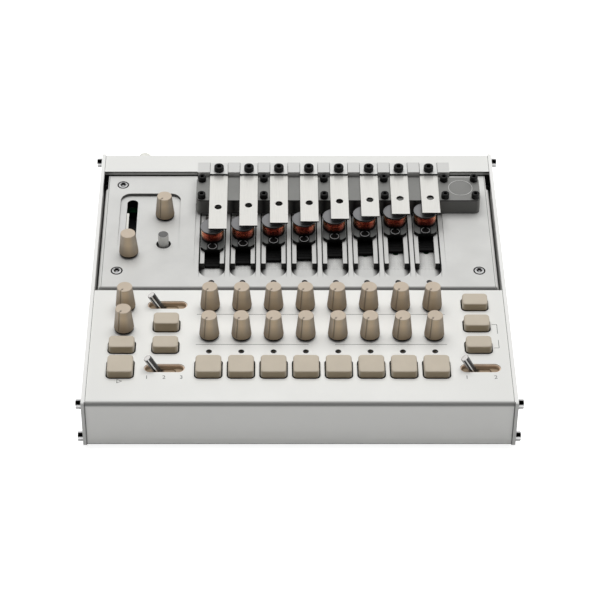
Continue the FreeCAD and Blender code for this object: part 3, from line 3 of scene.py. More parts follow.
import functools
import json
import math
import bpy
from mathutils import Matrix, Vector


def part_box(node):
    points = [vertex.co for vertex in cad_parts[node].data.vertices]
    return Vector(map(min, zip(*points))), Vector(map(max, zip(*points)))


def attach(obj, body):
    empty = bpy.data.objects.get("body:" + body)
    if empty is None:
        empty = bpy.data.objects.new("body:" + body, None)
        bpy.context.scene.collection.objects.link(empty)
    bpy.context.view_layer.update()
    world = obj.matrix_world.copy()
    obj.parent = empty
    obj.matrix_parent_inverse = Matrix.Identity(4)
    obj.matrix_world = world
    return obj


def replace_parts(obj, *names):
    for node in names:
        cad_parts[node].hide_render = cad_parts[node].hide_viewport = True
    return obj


bl_info = {
    "name": "Reed Synthesizer",
    "version": (1, 0, 0),
    "blender": (4, 5, 0),
    "location": "View3D > Sidebar > Synthesizer",
    "description": "Builds the visible pieces and finishes of a desktop synthesizer",
    "category": "Object",
}

import bmesh
import bpy
import numpy as np

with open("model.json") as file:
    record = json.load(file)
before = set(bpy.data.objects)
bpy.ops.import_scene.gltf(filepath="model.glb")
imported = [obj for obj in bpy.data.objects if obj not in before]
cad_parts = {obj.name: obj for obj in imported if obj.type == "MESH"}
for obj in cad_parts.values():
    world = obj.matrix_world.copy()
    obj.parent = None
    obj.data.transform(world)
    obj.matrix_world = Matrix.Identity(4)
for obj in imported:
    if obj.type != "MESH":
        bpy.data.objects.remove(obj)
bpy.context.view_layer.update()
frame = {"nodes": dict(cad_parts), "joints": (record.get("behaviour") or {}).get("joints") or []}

MM = 0.001
HOUSING = "housing"
FORWARD = (0.0, -1.0, 0.0)
UPWARD = (0.0, 0.0, 1.0)

PANEL_LOW, PANEL_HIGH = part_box("control_panel")
# The panel's frame, in millimetres: x from the middle, y back from the front wall, z up from the panel.
ORIGIN = np.array((0.0, PANEL_LOW.y, PANEL_HIGH.z))

# Places in the panel's frame.
REEDS_MIDDLE = 15.1
TOUCH_RING = (92.1, 169.9)
LIGHT_PIPE_Y = 132.3
LEDGE_FRONT = 117.4
DECK_EDGE = 107.0
DECK_TOP = -3.0
DECK_KNOB_DROP = 4.3
BASE_FACE = -29.0
POST_FOOT = -27.0
SIDE_FACE = 112.5
WINDING_FOOT = -1.6
INK_TOP = 0.012
DIGIT_FOOT = 18.8

# Sizes in millimetres: the pitch of the channels, and how far the reeds stand to the right of them.
PITCH = 17.0
REED_SHIFT = 3.0
WINDING_TALL = 5.6
SHAFT = 3.0
LINE_WIDTH = 0.28
DIGIT_SIZE = 3.64
# How far a knob's shaft ends below the knob's top.
SHAFT_END = 4.8
# The toggles' lean at rest, in degrees, and the knurl of a screw's head, as a share of its radius.
LEAN = 28.4
KNURL = 0.012

# The stage, in metres.
FLOOR_REACH = 14.0
CARD_REACH = 3.0
LAMP_AIM = (0.0, 0.0, 0.02)
CAMERA_PLACE = (-0.01333, -0.9942, 0.8715)


def colour(name, description, default):
    """A colour property whose default is an sRGB value, as a paint chart gives it."""
    return bpy.props.FloatVectorProperty(
        name=name, description=description, subtype="COLOR_GAMMA", size=3, min=0.0, max=1.0, default=default
    )


def length(name, description, millimetres):
    """A length property in metres, with its default in millimetres."""
    return bpy.props.FloatProperty(
        name=name, description=description, unit="LENGTH", precision=5, min=0.0, default=millimetres * MM
    )


def number(name, description, default):
    """A plain number property from 0 up."""
    return bpy.props.FloatProperty(name=name, description=description, default=default, min=0.0, max=1000.0)


def bearing(name, description, degrees):
    """An angle property, with its default in degrees."""
    return bpy.props.FloatProperty(
        name=name, description=description, subtype="ANGLE", default=math.radians(degrees)
    )


class SynthColours(bpy.types.PropertyGroup):
    """The colours of the finishes."""

    paint: colour("Shell paint", "Paint of the panel and the rear strip", (0.945, 0.945, 0.932))
    side_paint: colour("Side paint", "Paint of the end plates", (0.95, 0.95, 0.94))
    base_paint: colour("Base paint", "Paint of the base plate", (0.42, 0.42, 0.42))
    deck_metal: colour("Deck", "Bead-blasted metal of the deck", (0.85, 0.85, 0.84))
    # This colour also paints the highlights on the blackened screws' heads and the lock screws' rings.
    blank_steel: colour("Blank steel", "Ground tops of the screws and the side screws", (0.82, 0.82, 0.82))
    bridge_metal: colour("Bridge", "Anodised metal of the bridge", (0.53, 0.53, 0.52))
    rail_metal: colour("Rail", "Metal of the clamp rail", (0.88, 0.88, 0.87))
    reed_steel: colour("Reeds", "Brushed steel of the reeds", (0.9, 0.895, 0.875))
    knob_plastic: colour("Knobs", "Moulded plastic of the knobs", (0.79, 0.735, 0.665))
    button_plastic: colour("Buttons", "Moulded plastic of the buttons", (0.785, 0.745, 0.68))
    black_plastic: colour("Carriages", "Moulded plastic of the coil carriages", (0.035, 0.035, 0.035))
    copper: colour("Windings", "Enamelled copper wire", (0.59, 0.215, 0.16))
    disc_metal: colour("Coil discs", "Metal of the discs on the coils", (0.52, 0.52, 0.525))
    screw_steel: colour("Screws", "Blackened steel of the screws", (0.035, 0.035, 0.035))
    liner_plastic: colour("Slot liners", "Plastic in the toggles' slots", (0.95, 0.86, 0.77))
    board_resist: colour("Boards", "Solder resist of the circuit boards", (0.1, 0.28, 0.18))
    ink: colour("Ink", "Printed marks", (0.36, 0.36, 0.36))


class KnobSizes(bpy.types.PropertyGroup):
    """The shape of a knob."""

    foot: length("Foot radius", "Radius at the foot", 5.35)
    crown: length("Crown radius", "Radius below the rim", 4.05)
    tall: length("Height", "Height from the collar's foot to the top", 14.3)
    collar: length("Collar", "Height of the black collar under the cap", 1.0)
    rim: length("Rim", "Rounding of the top edge", 1.0)
    groove: length("Groove", "Width of the pointer's groove", 0.62)
    groove_depth: length("Groove depth", "Depth of the pointer's groove", 0.32)
    pointer: bearing("Pointer", "Direction of the pointer at rest, from +X", 240.0)


class ButtonSizes(bpy.types.PropertyGroup):
    """The shape of a button's cap."""

    corner: length("Corner", "Corner radius in plan", 2.0)
    edge: length("Edge", "Rounding of the top edge", 0.95)
    dome: length("Dome", "How far the middle of the top stands up", 0.12)
    skirt: length("Skirt", "How far the skirt runs out under the panel", 1.25)


class CoilSizes(bpy.types.PropertyGroup):
    """The shape of a coil on its carriage."""

    wire: length("Wire", "Diameter of the winding wire", 0.28)
    winding: length("Winding", "Radius of the winding", 6.2)
    disc: length("Disc", "Radius of the top disc", 6.65)
    disc_edge: length("Disc edge", "Rounding of the disc's edge", 0.22)
    bracket: length("Bracket", "Half width of the bracket", 6.4)
    waist: length("Waist", "Half width of the foot", 4.25)
    lock: length("Lock screw", "Distance from the coil's axis to its lock screw", 8.4)


class StageSettings(bpy.types.PropertyGroup):
    """The floor, the lamps and the camera."""

    key_power: number("Key power", "Power of the large lamp above", 25.2)
    fill_power: number("Fill power", "Power of the lamp beside the camera", 3.9)
    world_strength: number("Sky", "Strength of the even light from all round", 0.2)
    floor_tone: number("Floor tone", "Lightness of the floor for the light that it throws back", 0.92)
    floor_glow: number("Floor glow", "Share of white that the floor shows by itself", 0.78)
    lens: number("Lens", "Focal length of the camera in millimetres", 142.38)
    tilt: bearing("Tilt", "Camera's tilt from straight down", 48.91)


def linear(tone):
    """Scene-linear values of an sRGB colour: c/12.92 below 0.04045, else ((c + 0.055)/1.055)^2.4."""
    tone = np.asarray(tone, float)
    return np.where(tone <= 0.04045, tone / 12.92, ((tone + 0.055) / 1.055) ** 2.4)


def shade(tone, factor):
    """A colour made lighter or darker, as a linear RGBA tuple."""
    return (*np.clip(linear(tone) * factor, 0.0, 1.0), 1.0)


def grey(level):
    """A grey, as a linear RGBA tuple."""
    return (level, level, level, 1.0)


def at(name, millimetres):
    """A place on an axis of the panel's frame, in metres."""
    return float(ORIGIN["XYZ".index(name)] + millimetres * MM)


def feed(tree, node, inputs):
    """Give a node's inputs their values: a socket is joined, and anything else is set."""
    for key, value in inputs.items():
        if isinstance(value, bpy.types.NodeSocket):
            tree.links.new(value, node.inputs[key])
        else:
            node.inputs[key].default_value = value


def new_node(tree, kind, inputs=None, **settings):
    """A new node of a tree, with its settings and its inputs."""
    made = tree.nodes.new(kind)
    for key, value in settings.items():
        setattr(made, key, value)
    feed(tree, made, inputs or {})
    return made


class Recipe:
    """A node material in the making: a Principled shader with noise-driven colour, gloss and bump."""

    def __init__(self, name, tone, roughness, metallic=0.0):
        self.material = bpy.data.materials.new(name)
        self.material.use_nodes = True
        self.material.diffuse_color = shade(tone, 1.0)
        self.tree = self.material.node_tree
        self.shader = self.tree.nodes["Principled BSDF"]
        self.tone = tone
        self.set(Base_Color=shade(tone, 1.0), Roughness=roughness, Metallic=metallic)
        self.place = self.node("ShaderNodeTexCoord").outputs["Object"]
        self.normal = self.node("ShaderNodeTexCoord").outputs["Normal"]

    def node(self, kind, inputs=None, **settings):
        """A new node of the material."""
        return new_node(self.tree, kind, inputs, **settings)

    def set(self, **inputs):
        """Feed inputs of the shader, with underscores for spaces."""
        feed(self.tree, self.shader, {key.replace("_", " "): value for key, value in inputs.items()})
        return self

    def noise(self, scale, detail=3.0, along=None, roughness=0.5):
        """A noise from 0 to 1 over the piece's own space, which can be scaled along each axis."""
        place = self.place
        if along:
            place = self.node("ShaderNodeMapping", {"Scale": along, "Vector": place}).outputs["Vector"]
        inputs = {"Scale": scale, "Detail": detail, "Roughness": roughness, "Vector": place}
        return self.node("ShaderNodeTexNoise", inputs).outputs["Fac"]

    def ramp(self, factor, stops):
        """A colour or a grey by steps of (place, RGBA)."""
        made = self.node("ShaderNodeValToRGB", {"Fac": factor})
        points = made.color_ramp.elements
        while len(points) < len(stops):
            points.new(0.5)
        for point, (place, value) in zip(points, stops):
            point.position = place
            point.color = value
        return made.outputs["Color"]

    def mottle(self, scale, low, high, detail=4.0, along=None):
        """Colour that drifts between two shades of the tone."""
        stops = ((0.3, shade(self.tone, low)), (0.7, shade(self.tone, high)))
        self.set(Base_Color=self.ramp(self.noise(scale, detail, along), stops))

    def gloss(self, scale, low, high, along=None):
        """Roughness that drifts between two values."""
        spread = {"To Min": low, "To Max": high, "Value": self.noise(scale, 3.0, along)}
        self.set(Roughness=self.node("ShaderNodeMapRange", spread).outputs["Result"])

    def bump(self, height, distance):
        """Bump from a height socket, in metres at full height."""
        inputs = {"Strength": 1.0, "Distance": distance, "Height": height}
        self.set(Normal=self.node("ShaderNodeBump", inputs).outputs["Normal"])

    def tint(self, tone, share, *factors):
        """Paint a second colour, times a share, where the product of some factors is 1."""
        links = self.shader.inputs["Base Color"].links
        under = links[0].from_socket if links else shade(self.tone, 1.0)
        inputs = {"A": under, "B": shade(tone, share), "Factor": self.both(*factors)}
        self.set(Base_Color=self.node("ShaderNodeMix", inputs, data_type="RGBA").outputs["Result"])

    def dim(self, share, *factors):
        """Paint the recipe's own colour, times a share, where the product of some factors is 1."""
        self.tint(self.tone, share, *factors)

    def marks(self):
        """1 where the mesh's mark attribute is 1."""
        return self.node("ShaderNodeAttribute", attribute_name="mark").outputs["Fac"]

    def maths(self, operation, *values):
        """A maths node over sockets or plain numbers."""
        return self.node("ShaderNodeMath", dict(enumerate(values)), operation=operation).outputs["Value"]

    def both(self, *factors):
        """The product of several factors."""
        return functools.reduce(lambda total, factor: self.maths("MULTIPLY", total, factor), factors)

    def rise(self, value, start, full):
        """A factor that goes from 0 to 1 as a value goes from start to full."""
        spread = {"From Min": start, "From Max": full, "Value": value}
        return self.node("ShaderNodeMapRange", spread).outputs["Result"]

    def rim(self, start, full):
        """A factor that rises from 0 to 1 as the surface turns away from the viewer."""
        return self.rise(self.node("ShaderNodeLayerWeight").outputs["Facing"], start, full)

    def lengthwise(self, start, full):
        """A factor from 0 to 1 with |n.y|, which is 1 on faces that look straight to the front or back."""
        normal = self.node("ShaderNodeNewGeometry").outputs["Normal"]
        return self.rise(self.maths("ABSOLUTE", self.axis("Y", normal)), start, full)

    def openness(self, reach):
        """1 on an open face, less where other surfaces stand within a reach in metres."""
        return self.node("ShaderNodeAmbientOcclusion", {"Distance": reach}, samples=8).outputs["AO"]

    def axis(self, name, source=None):
        """One axis of the place on the piece, or of another vector."""
        return self.node("ShaderNodeSeparateXYZ", {"Vector": source or self.place}).outputs[name]

    def within(self, name, middle, reach):
        """1 where an axis of the panel's frame lies within a reach of a middle, in millimetres."""
        return self.maths("COMPARE", self.axis(name), at(name, middle), reach * MM)

    def below(self, name, limit):
        """1 where an axis of the panel's frame is less than a limit, in millimetres."""
        return self.maths("LESS_THAN", self.axis(name), at(name, limit))

    def above(self, name, limit):
        """1 where an axis of the panel's frame is more than a limit, in millimetres."""
        return self.maths("GREATER_THAN", self.axis(name), at(name, limit))

    def between(self, name, start, full):
        """A factor that goes from 0 to 1 between two places on an axis of the panel's frame."""
        return self.rise(self.axis(name), at(name, start), at(name, full))

    def across(self):
        """The distance from the middle plane."""
        return self.maths("ABSOLUTE", self.axis("X"))

    def upright(self):
        """1 on faces that stand upright."""
        return self.maths("LESS_THAN", self.axis("Z", self.normal), 0.5)

    def beside(self, shift=0.0):
        """The distance from the middle line of the nearest channel: | ((x - x1 + p/2) mod p) - p/2 |."""
        shifted = self.maths("ADD", self.axis("X"), (PITCH / 2 - CHANNELS[0] - shift) * MM)
        folded = self.maths("FLOORED_MODULO", shifted, PITCH * MM)
        return self.maths("ABSOLUTE", self.maths("SUBTRACT", folded, PITCH / 2 * MM))

    def facing(self, direction, start, full):
        """A factor that rises from 0 to 1 as the piece's own normal turns to a direction."""
        inputs = {0: self.normal, 1: direction}
        product = self.node("ShaderNodeVectorMath", inputs, operation="DOT_PRODUCT")
        return self.rise(product.outputs["Value"], start, full)


def satin_paint(name, tone):
    """Powder paint: a faint orange peel and a slow drift in tone."""
    recipe = Recipe(name, tone, 0.42)
    recipe.mottle(40.0, 0.975, 1.02)
    recipe.gloss(300.0, 0.36, 0.5)
    recipe.bump(recipe.noise(2600.0, 2.0), 0.00002)
    return recipe.set(Coat_Weight=0.12, Coat_Roughness=0.25)


def shell_paint(name, tone):
    """The shell's paint with painted shade: darker on the front bend and the front faces, towards the
    panel's sides and on the rear strip, and dark in the seams beside the end plates, along the bottom front
    edge, inside the holes and on the step at the back.
    """
    recipe = satin_paint(name, tone)
    level = recipe.above("Z", -0.1)
    recipe.dim(0.27, recipe.facing((0.0, -0.78, 0.62), 0.78, 0.99))
    recipe.dim(0.88, recipe.facing(FORWARD, 0.92, 0.99))
    across = recipe.across()
    recipe.dim(0.93, recipe.rise(across, 60.0 * MM, 112.0 * MM), recipe.below("Y", 90.0), level)
    recipe.dim(0.94, recipe.within("Y", 203.0, 9.0), level)
    recipe.dim(0.14, recipe.maths("GREATER_THAN", across, 110.3 * MM))
    recipe.dim(0.3, recipe.below("Z", -28.5), recipe.below("Y", 1.0))
    recipe.dim(0.03, recipe.below("Z", -0.16), recipe.within("Y", 48.0, 41.0))
    step = recipe.within("Y", 193.3, 0.3)
    recipe.dim(0.34, step, recipe.below("Z", -0.1))
    recipe.dim(0.05, step, recipe.within("Z", -0.45, 0.35))
    recipe.dim(0.02, step, recipe.below("Z", -2.4))
    return recipe


def side_finish(name, tone):
    """The end plates' paint with painted shade: darker on the front faces, a dark line beside the shell on
    the front, and inner faces that are a little darker along the deck and black near the back.
    """
    recipe = satin_paint(name, tone)
    recipe.dim(0.6, recipe.facing(FORWARD, 0.6, 0.95))
    across = recipe.across()
    recipe.dim(0.16, recipe.maths("LESS_THAN", across, 110.85 * MM), recipe.below("Y", 0.5))
    inner = recipe.both(recipe.below("Z", -1.2), recipe.maths("LESS_THAN", across, 110.6 * MM))
    recipe.dim(0.02, inner, recipe.within("Y", 187.3, 6.0))
    recipe.dim(0.8, inner, recipe.within("Y", 135.4, 45.9))
    return recipe


def blasted_metal(name, tone, roughness=0.45, metallic=0.35, grain=5200.0):
    """Bead-blasted and anodised metal: fine pits and a slightly cloudy gloss."""
    recipe = Recipe(name, tone, roughness, metallic)
    recipe.mottle(60.0, 0.95, 1.04)
    recipe.gloss(500.0, roughness - 0.06, roughness + 0.1)
    recipe.bump(recipe.noise(grain, 2.0, roughness=0.7), 0.00003)
    return recipe


def deck_finish(name, tone):
    """The deck's metal with painted shade: darker on its front edge and dark on the dish walls, in the gaps
    beside the end plates, in the fader's slot, at the ledges' fronts, and in the corners and along the sides
    of the bays, with painted light that brightens it towards the rear.

    The marks of the channels repeat over the distance from the nearest channel's middle, and painted shade
    darkens the floor of a channel where other surfaces stand close, as where a carriage's tongue stands over
    it.
    """
    recipe = blasted_metal(name, tone, 0.5, 0.2)
    recipe.dim(0.24, recipe.facing((0.0, -0.75, 0.66), 0.72, 0.95))
    upright = recipe.upright()
    recipe.dim(0.1, upright, recipe.within("Z", -4.2, 1.1), recipe.within("Y", 143.0, 48.0))
    across = recipe.across()
    recipe.dim(0.3, recipe.maths("COMPARE", across, 107.4 * MM, 0.14 * MM))
    outside = recipe.both(upright, recipe.maths("GREATER_THAN", across, DECK_EDGE * MM))
    recipe.dim(0.02, outside)
    recipe.dim(0.85, outside, recipe.below("Y", 181.5))
    inside = recipe.maths("LESS_THAN", across, DECK_EDGE * MM)
    # Painted light: the deck's top brightens towards the rear.
    recipe.dim(1.3, recipe.between("Y", 170.0, 191.0), recipe.facing(UPWARD, 0.9, 0.99), inside, 0.36)
    recipe.dim(0.01, recipe.within("X", -93.4, 3.4), recipe.within("Y", 146.1, 27.0), upright)
    beside = recipe.beside()
    channels = recipe.within("X", (CHANNELS[0] + CHANNELS[7]) / 2, 4 * PITCH)
    slots = recipe.both(channels, recipe.maths("LESS_THAN", beside, 7.3 * MM))
    below = recipe.both(slots, recipe.below("Z", -3.1))
    ahead = recipe.maths("SUBTRACT", recipe.axis("Y"), at("Y", 110.1))
    round_nose = recipe.maths("MINIMUM", ahead, 0.0)
    square = recipe.maths("MULTIPLY", round_nose, round_nose)
    reach = recipe.maths("SQRT", recipe.maths("MULTIPLY_ADD", beside, beside, square))
    corner = recipe.rise(reach, 3.6 * MM, 6.9 * MM)
    recipe.dim(0.04, below, corner, recipe.between("Y", 98.0, 114.0), recipe.below("Y", LEDGE_FRONT + 0.1))
    recipe.dim(0.06, recipe.within("Y", LEDGE_FRONT, 0.05), below)
    # Painted shade on the channels' floors where other surfaces stand close.
    floor = recipe.both(slots, recipe.below("Z", -6.5), recipe.facing(UPWARD, 0.9, 0.99))
    aside = recipe.rise(beside, 1.0 * MM, 4.2 * MM)
    openness = recipe.maths("MULTIPLY_ADD", aside, 0.24, recipe.openness(5.0 * MM))
    recipe.dim(0.02, floor, recipe.rise(openness, 0.93, 0.6))
    near = recipe.maths("COMPARE", beside, 7.02 * MM, 0.38 * MM)
    recipe.dim(0.03, near, recipe.between("Y", 103.2, 113.2), channels)
    return recipe


def bridge_finish(name, tone):
    """The bridge's anodised metal with painted shade on its front, darkest between the reeds and in a band
    near its top.
    """
    recipe = blasted_metal(name, tone, 0.5, 0.3)
    front = recipe.facing(FORWARD, 0.6, 0.95)
    recipe.dim(0.5, front)
    gap = recipe.rise(recipe.beside(REED_SHIFT), 5.6 * MM, 8.2 * MM)
    recipe.dim(0.05, front, gap, recipe.within("X", REEDS_MIDDLE, 62.0))
    recipe.dim(0.06, front, recipe.within("Z", 6.4, 0.5))
    return recipe


def rail_finish(name, tone):
    """The rail's metal with painted shade: black on its front faces, dark in the fine seams beside the
    clamps and a little darker between the clamps.
    """
    recipe = blasted_metal(name, tone, 0.4, 0.4)
    recipe.dim(0.04, recipe.facing(FORWARD, 0.9, 0.98))
    beside = recipe.beside(REED_SHIFT)
    seam = recipe.maths("COMPARE", beside, 5.08 * MM, 0.16 * MM)
    recipe.dim(0.12, seam, recipe.within("X", REEDS_MIDDLE, 4 * PITCH))
    recipe.dim(0.9, recipe.maths("GREATER_THAN", beside, 5.2 * MM))
    return recipe


def brushed_steel(name, tone):
    """Steel brushed along the reeds: long fine scratches in colour, gloss and height, with painted shade
    that is black on faces that look down to the front and darker just in front of the clamps.
    """
    recipe = Recipe(name, tone, 0.4, 0.45)
    recipe.mottle(1.0, 0.94, 1.04, 6.0, along=(5200.0, 90.0, 5200.0))
    recipe.gloss(1.0, 0.3, 0.5, along=(3800.0, 60.0, 3800.0))
    recipe.bump(recipe.noise(1.0, 5.0, along=(7000.0, 80.0, 7000.0)), 0.000008)
    recipe.dim(0.02, recipe.facing((0.0, -0.8, -0.6), 0.5, 0.6))
    middle_line = recipe.maths("LESS_THAN", recipe.beside(REED_SHIFT), 2.6 * MM)
    recipe.dim(0.62, recipe.between("Y", 174.6, 179.2), middle_line)
    return recipe


def moulded_plastic(name, tone, roughness=0.55, grain=4200.0, depth=0.00003):
    """Moulded plastic: a fine sparked texture and a slow drift in tone."""
    recipe = Recipe(name, tone, roughness)
    recipe.mottle(120.0, 0.965, 1.03)
    recipe.gloss(700.0, roughness - 0.07, roughness + 0.08)
    recipe.bump(recipe.noise(grain, 3.0, roughness=0.65), depth)
    return recipe


def knob_plastic(name, tone):
    """The knobs' plastic with painted light and shade: lighter and warmer where the sides face the front or
    the back, darker where they face the sides, browner towards the foot and on the lower sides of the rear
    row, and dark in the groove and the dent.
    """
    recipe = moulded_plastic(name, tone)
    side = recipe.upright()
    brown = np.array(tone) * (1.0, 0.93, 0.82)
    recipe.tint(np.array(tone) * (1.0, 0.97, 0.9), 1.42, side, recipe.lengthwise(0.773, 1.04))
    recipe.dim(0.46, side, recipe.lengthwise(0.653, -0.013))
    lift = recipe.maths("MULTIPLY", recipe.above("Y", 100.0), DECK_KNOB_DROP * MM)
    height = recipe.maths("ADD", recipe.axis("Z"), lift)
    recipe.tint(brown, 0.4, side, recipe.rise(height, at("Z", 10.5), at("Z", 1.5)))
    top = recipe.rise(height, at("Z", 13.0), at("Z", 9.0))
    recipe.tint(brown, 0.5, side, recipe.within("Y", 76.0, 12.0), top, 0.38)
    recipe.dim(0.16, recipe.marks())
    return recipe


def liner_finish(name, tone):
    """The plastic in the toggles' slots, with painted shade: pale at the brim, browner further down, and a
    black painted shadow round the lever.
    """
    recipe = moulded_plastic(name, tone, 0.45)
    recipe.tint(np.array(tone) * (1.0, 0.98, 0.93), 0.43, recipe.between("Z", -0.8, -2.3))
    recipe.tint((0.02, 0.02, 0.02), 1.0, recipe.marks())
    return recipe


def button_plastic(name, tone):
    """The buttons' plastic with painted shade: browner fronts, and black where the cap runs down into the
    panel.
    """
    recipe = moulded_plastic(name, tone)
    recipe.tint(np.array(tone) * (1.0, 0.95, 0.86), 0.56, recipe.facing(FORWARD, 0.45, 0.95))
    recipe.dim(0.01, recipe.below("Z", 0.05))
    return recipe


def wire_copper(name, tone):
    """Enamelled copper wire: a tone that drifts at random from turn to turn, painted reflections that streak
    its flanks pale, painted highlights here and there, and painted shade towards its foot.
    """
    recipe = Recipe(name, tone, 0.22, 0.85)
    turns = recipe.noise(1.0, 5.0, along=(260.0, 260.0, 5200.0))
    shades = [(place, shade(tone, share)) for place, share in ((0.3, 0.2), (0.45, 0.65), (0.56, 1.1))]
    recipe.set(Base_Color=recipe.ramp(turns, shades + [(0.7, shade((0.82, 0.46, 0.35), 1.0))]))
    flank = recipe.rise(recipe.maths("ABSOLUTE", recipe.axis("X", recipe.normal)), 0.5, 0.85)
    streak = recipe.rise(recipe.noise(1.0, 4.0, along=(400.0, 400.0, 2600.0)), 0.38, 0.56)
    recipe.tint((1.0, 0.88, 0.7), 1.0, flank, streak)
    glint = recipe.rise(recipe.noise(1.0, 4.0, along=(330.0, 330.0, 900.0)), 0.5, 0.62)
    recipe.tint((0.9, 0.5, 0.36), 0.8, glint, recipe.maths("SUBTRACT", 0.75, flank))
    recipe.dim(0.08, recipe.between("Z", 1.6, -1.2))
    recipe.gloss(900.0, 0.14, 0.34)
    recipe.bump(recipe.noise(2400.0, 4.0), 0.00006)
    return recipe.set(Coat_Weight=0.15, Coat_Roughness=0.12)


def disc_finish(name, tone):
    """The metal of the discs on the coils, with painted shade that makes their upright edge black."""
    recipe = blasted_metal(name, tone, 0.34, 0.7, 3000.0)
    recipe.dim(0.05, recipe.upright())
    return recipe


def carriage_plastic(name, tone):
    """The carriages' black plastic, with painted light that makes the flat tops of the shoulders beside the
    lock screw grey.
    """
    recipe = moulded_plastic(name, tone, 0.4)
    side = recipe.rise(recipe.beside(), 2.7 * MM, 3.3 * MM)
    recipe.tint((0.38, 0.385, 0.38), 1.0, recipe.within("Z", -2.62, 0.1), side)
    return recipe.set(Specular_IOR_Level=0.15)


def black_steel(name, tone, blank):
    """Oil-blackened steel, pale where the mesh is marked: painted highlights on the heads' edges and socket
    rims, and the rings of the lock screws. Above the panel's level it is plain and darker, with painted
    shade on its upright sides.
    """
    recipe = Recipe(name, tone, 0.4, 0.1)
    recipe.mottle(900.0, 0.7, 1.25)
    recipe.gloss(1500.0, 0.3, 0.5)
    recipe.bump(recipe.noise(5000.0, 3.0), 0.00001)
    # The marks on the screws' heads carry painted highlights.
    recipe.tint(blank, 1.0, recipe.marks())
    standing = recipe.above("Z", 0.0)
    recipe.dim(0.6, standing)
    recipe.dim(0.1, standing, recipe.upright())
    return recipe.set(Specular_IOR_Level=0.25)


def blank_steel(name, tone):
    """Ground steel with painted shade: black where the mesh is marked, round a flush head and in its socket,
    a painted dark reflection where it faces up to the front, and darker where it faces front.
    """
    recipe = Recipe(name, tone, 0.2, 0.95)
    recipe.mottle(700.0, 0.92, 1.04)
    recipe.gloss(1500.0, 0.12, 0.3)
    recipe.tint((0.03, 0.03, 0.03), 1.0, recipe.marks())
    recipe.dim(0.3, recipe.facing((0.0, -0.994, -0.1), 0.88, 1.0))
    recipe.dim(0.004, recipe.facing((0.0, -0.469, 0.883), 0.89, 0.93))
    return recipe


def polished_chrome(name):
    """Plated levers with painted reflections: dark and bright stripes that run along the bar, and a pale
    painted highlight on its end.
    """
    recipe = Recipe(name, (0.93, 0.93, 0.94), 0.22, 0.6)
    across = recipe.facing((0.8125, 0.383, 0.4395), -1.0, 1.0)
    near = [(0.0, 0.35), (0.1, 0.7), (0.2, 0.05), (0.34, 0.03)]
    far = [(0.42, 0.9), (0.5, 0.8), (0.56, 0.04), (0.9, 0.1)]
    recipe.set(Base_Color=recipe.ramp(across, [(place, grey(level)) for place, level in near + far]))
    recipe.tint((0.88, 0.87, 0.86), 1.0, recipe.facing((-0.476, 0.0, 0.88), 0.8, 0.95))
    recipe.gloss(420.0, 0.18, 0.3)
    return recipe


def printed_ink(name, tone):
    """Screen-printed ink with slightly uneven cover."""
    recipe = Recipe(name, tone, 0.6)
    recipe.mottle(2500.0, 0.85, 1.2)
    recipe.bump(recipe.noise(6000.0, 2.0), 0.000005)
    return recipe


def clear_plastic(name):
    """The clear rod of the light pipe, with painted shade: grey on its top and darker at its rim, where it
    turns away from the viewer.
    """
    recipe = Recipe(name, (0.93, 0.93, 0.92), 0.12)
    recipe.mottle(200.0, 0.95, 1.0)
    recipe.tint((0.42, 0.42, 0.42), 1.0, recipe.facing(UPWARD, 0.7, 0.95))
    recipe.tint((0.35, 0.35, 0.36), 1.0, recipe.rim(0.72, 0.9))
    recipe.gloss(900.0, 0.08, 0.18)
    return recipe.set(Transmission_Weight=0.35, IOR=1.49, Coat_Weight=0.3, Coat_Roughness=0.05)


def smoked_lens(name):
    """The dark lens over a lamp."""
    recipe = Recipe(name, (0.1, 0.1, 0.1), 0.12)
    recipe.mottle(800.0, 0.6, 1.3)
    recipe.gloss(1200.0, 0.08, 0.2)
    return recipe.set(Coat_Weight=0.7, Coat_Roughness=0.06)


def board_material(name, resist):
    """Circuit boards: green resist with tracks on the boards, and dark housings on them."""
    recipe = Recipe(name, resist, 0.4)
    inputs = {"Scale": 210.0, "Mortar Size": 0.012, "Vector": recipe.place}
    for key, share in (("Color1", 1.0), ("Color2", 1.35), ("Mortar", 2.4)):
        inputs[key] = shade(resist, share)
    tracks = recipe.node("ShaderNodeTexBrick", inputs, offset=0.37, squash=1.6)
    housings = recipe.ramp(recipe.noise(90.0), ((0.4, grey(0.004)), (0.6, grey(0.01))))
    boards = recipe.maths("MAXIMUM", recipe.within("Z", -12.8, 0.83), recipe.within("Z", -21.3, 1.35))
    inputs = {"Factor": boards, "A": housings, "B": tracks.outputs["Color"]}
    recipe.set(Base_Color=recipe.node("ShaderNodeMix", inputs, data_type="RGBA").outputs["Result"])
    recipe.gloss(400.0, 0.3, 0.55)
    recipe.bump(recipe.noise(1800.0, 3.0), 0.00002)
    return recipe


MATERIALS = {}


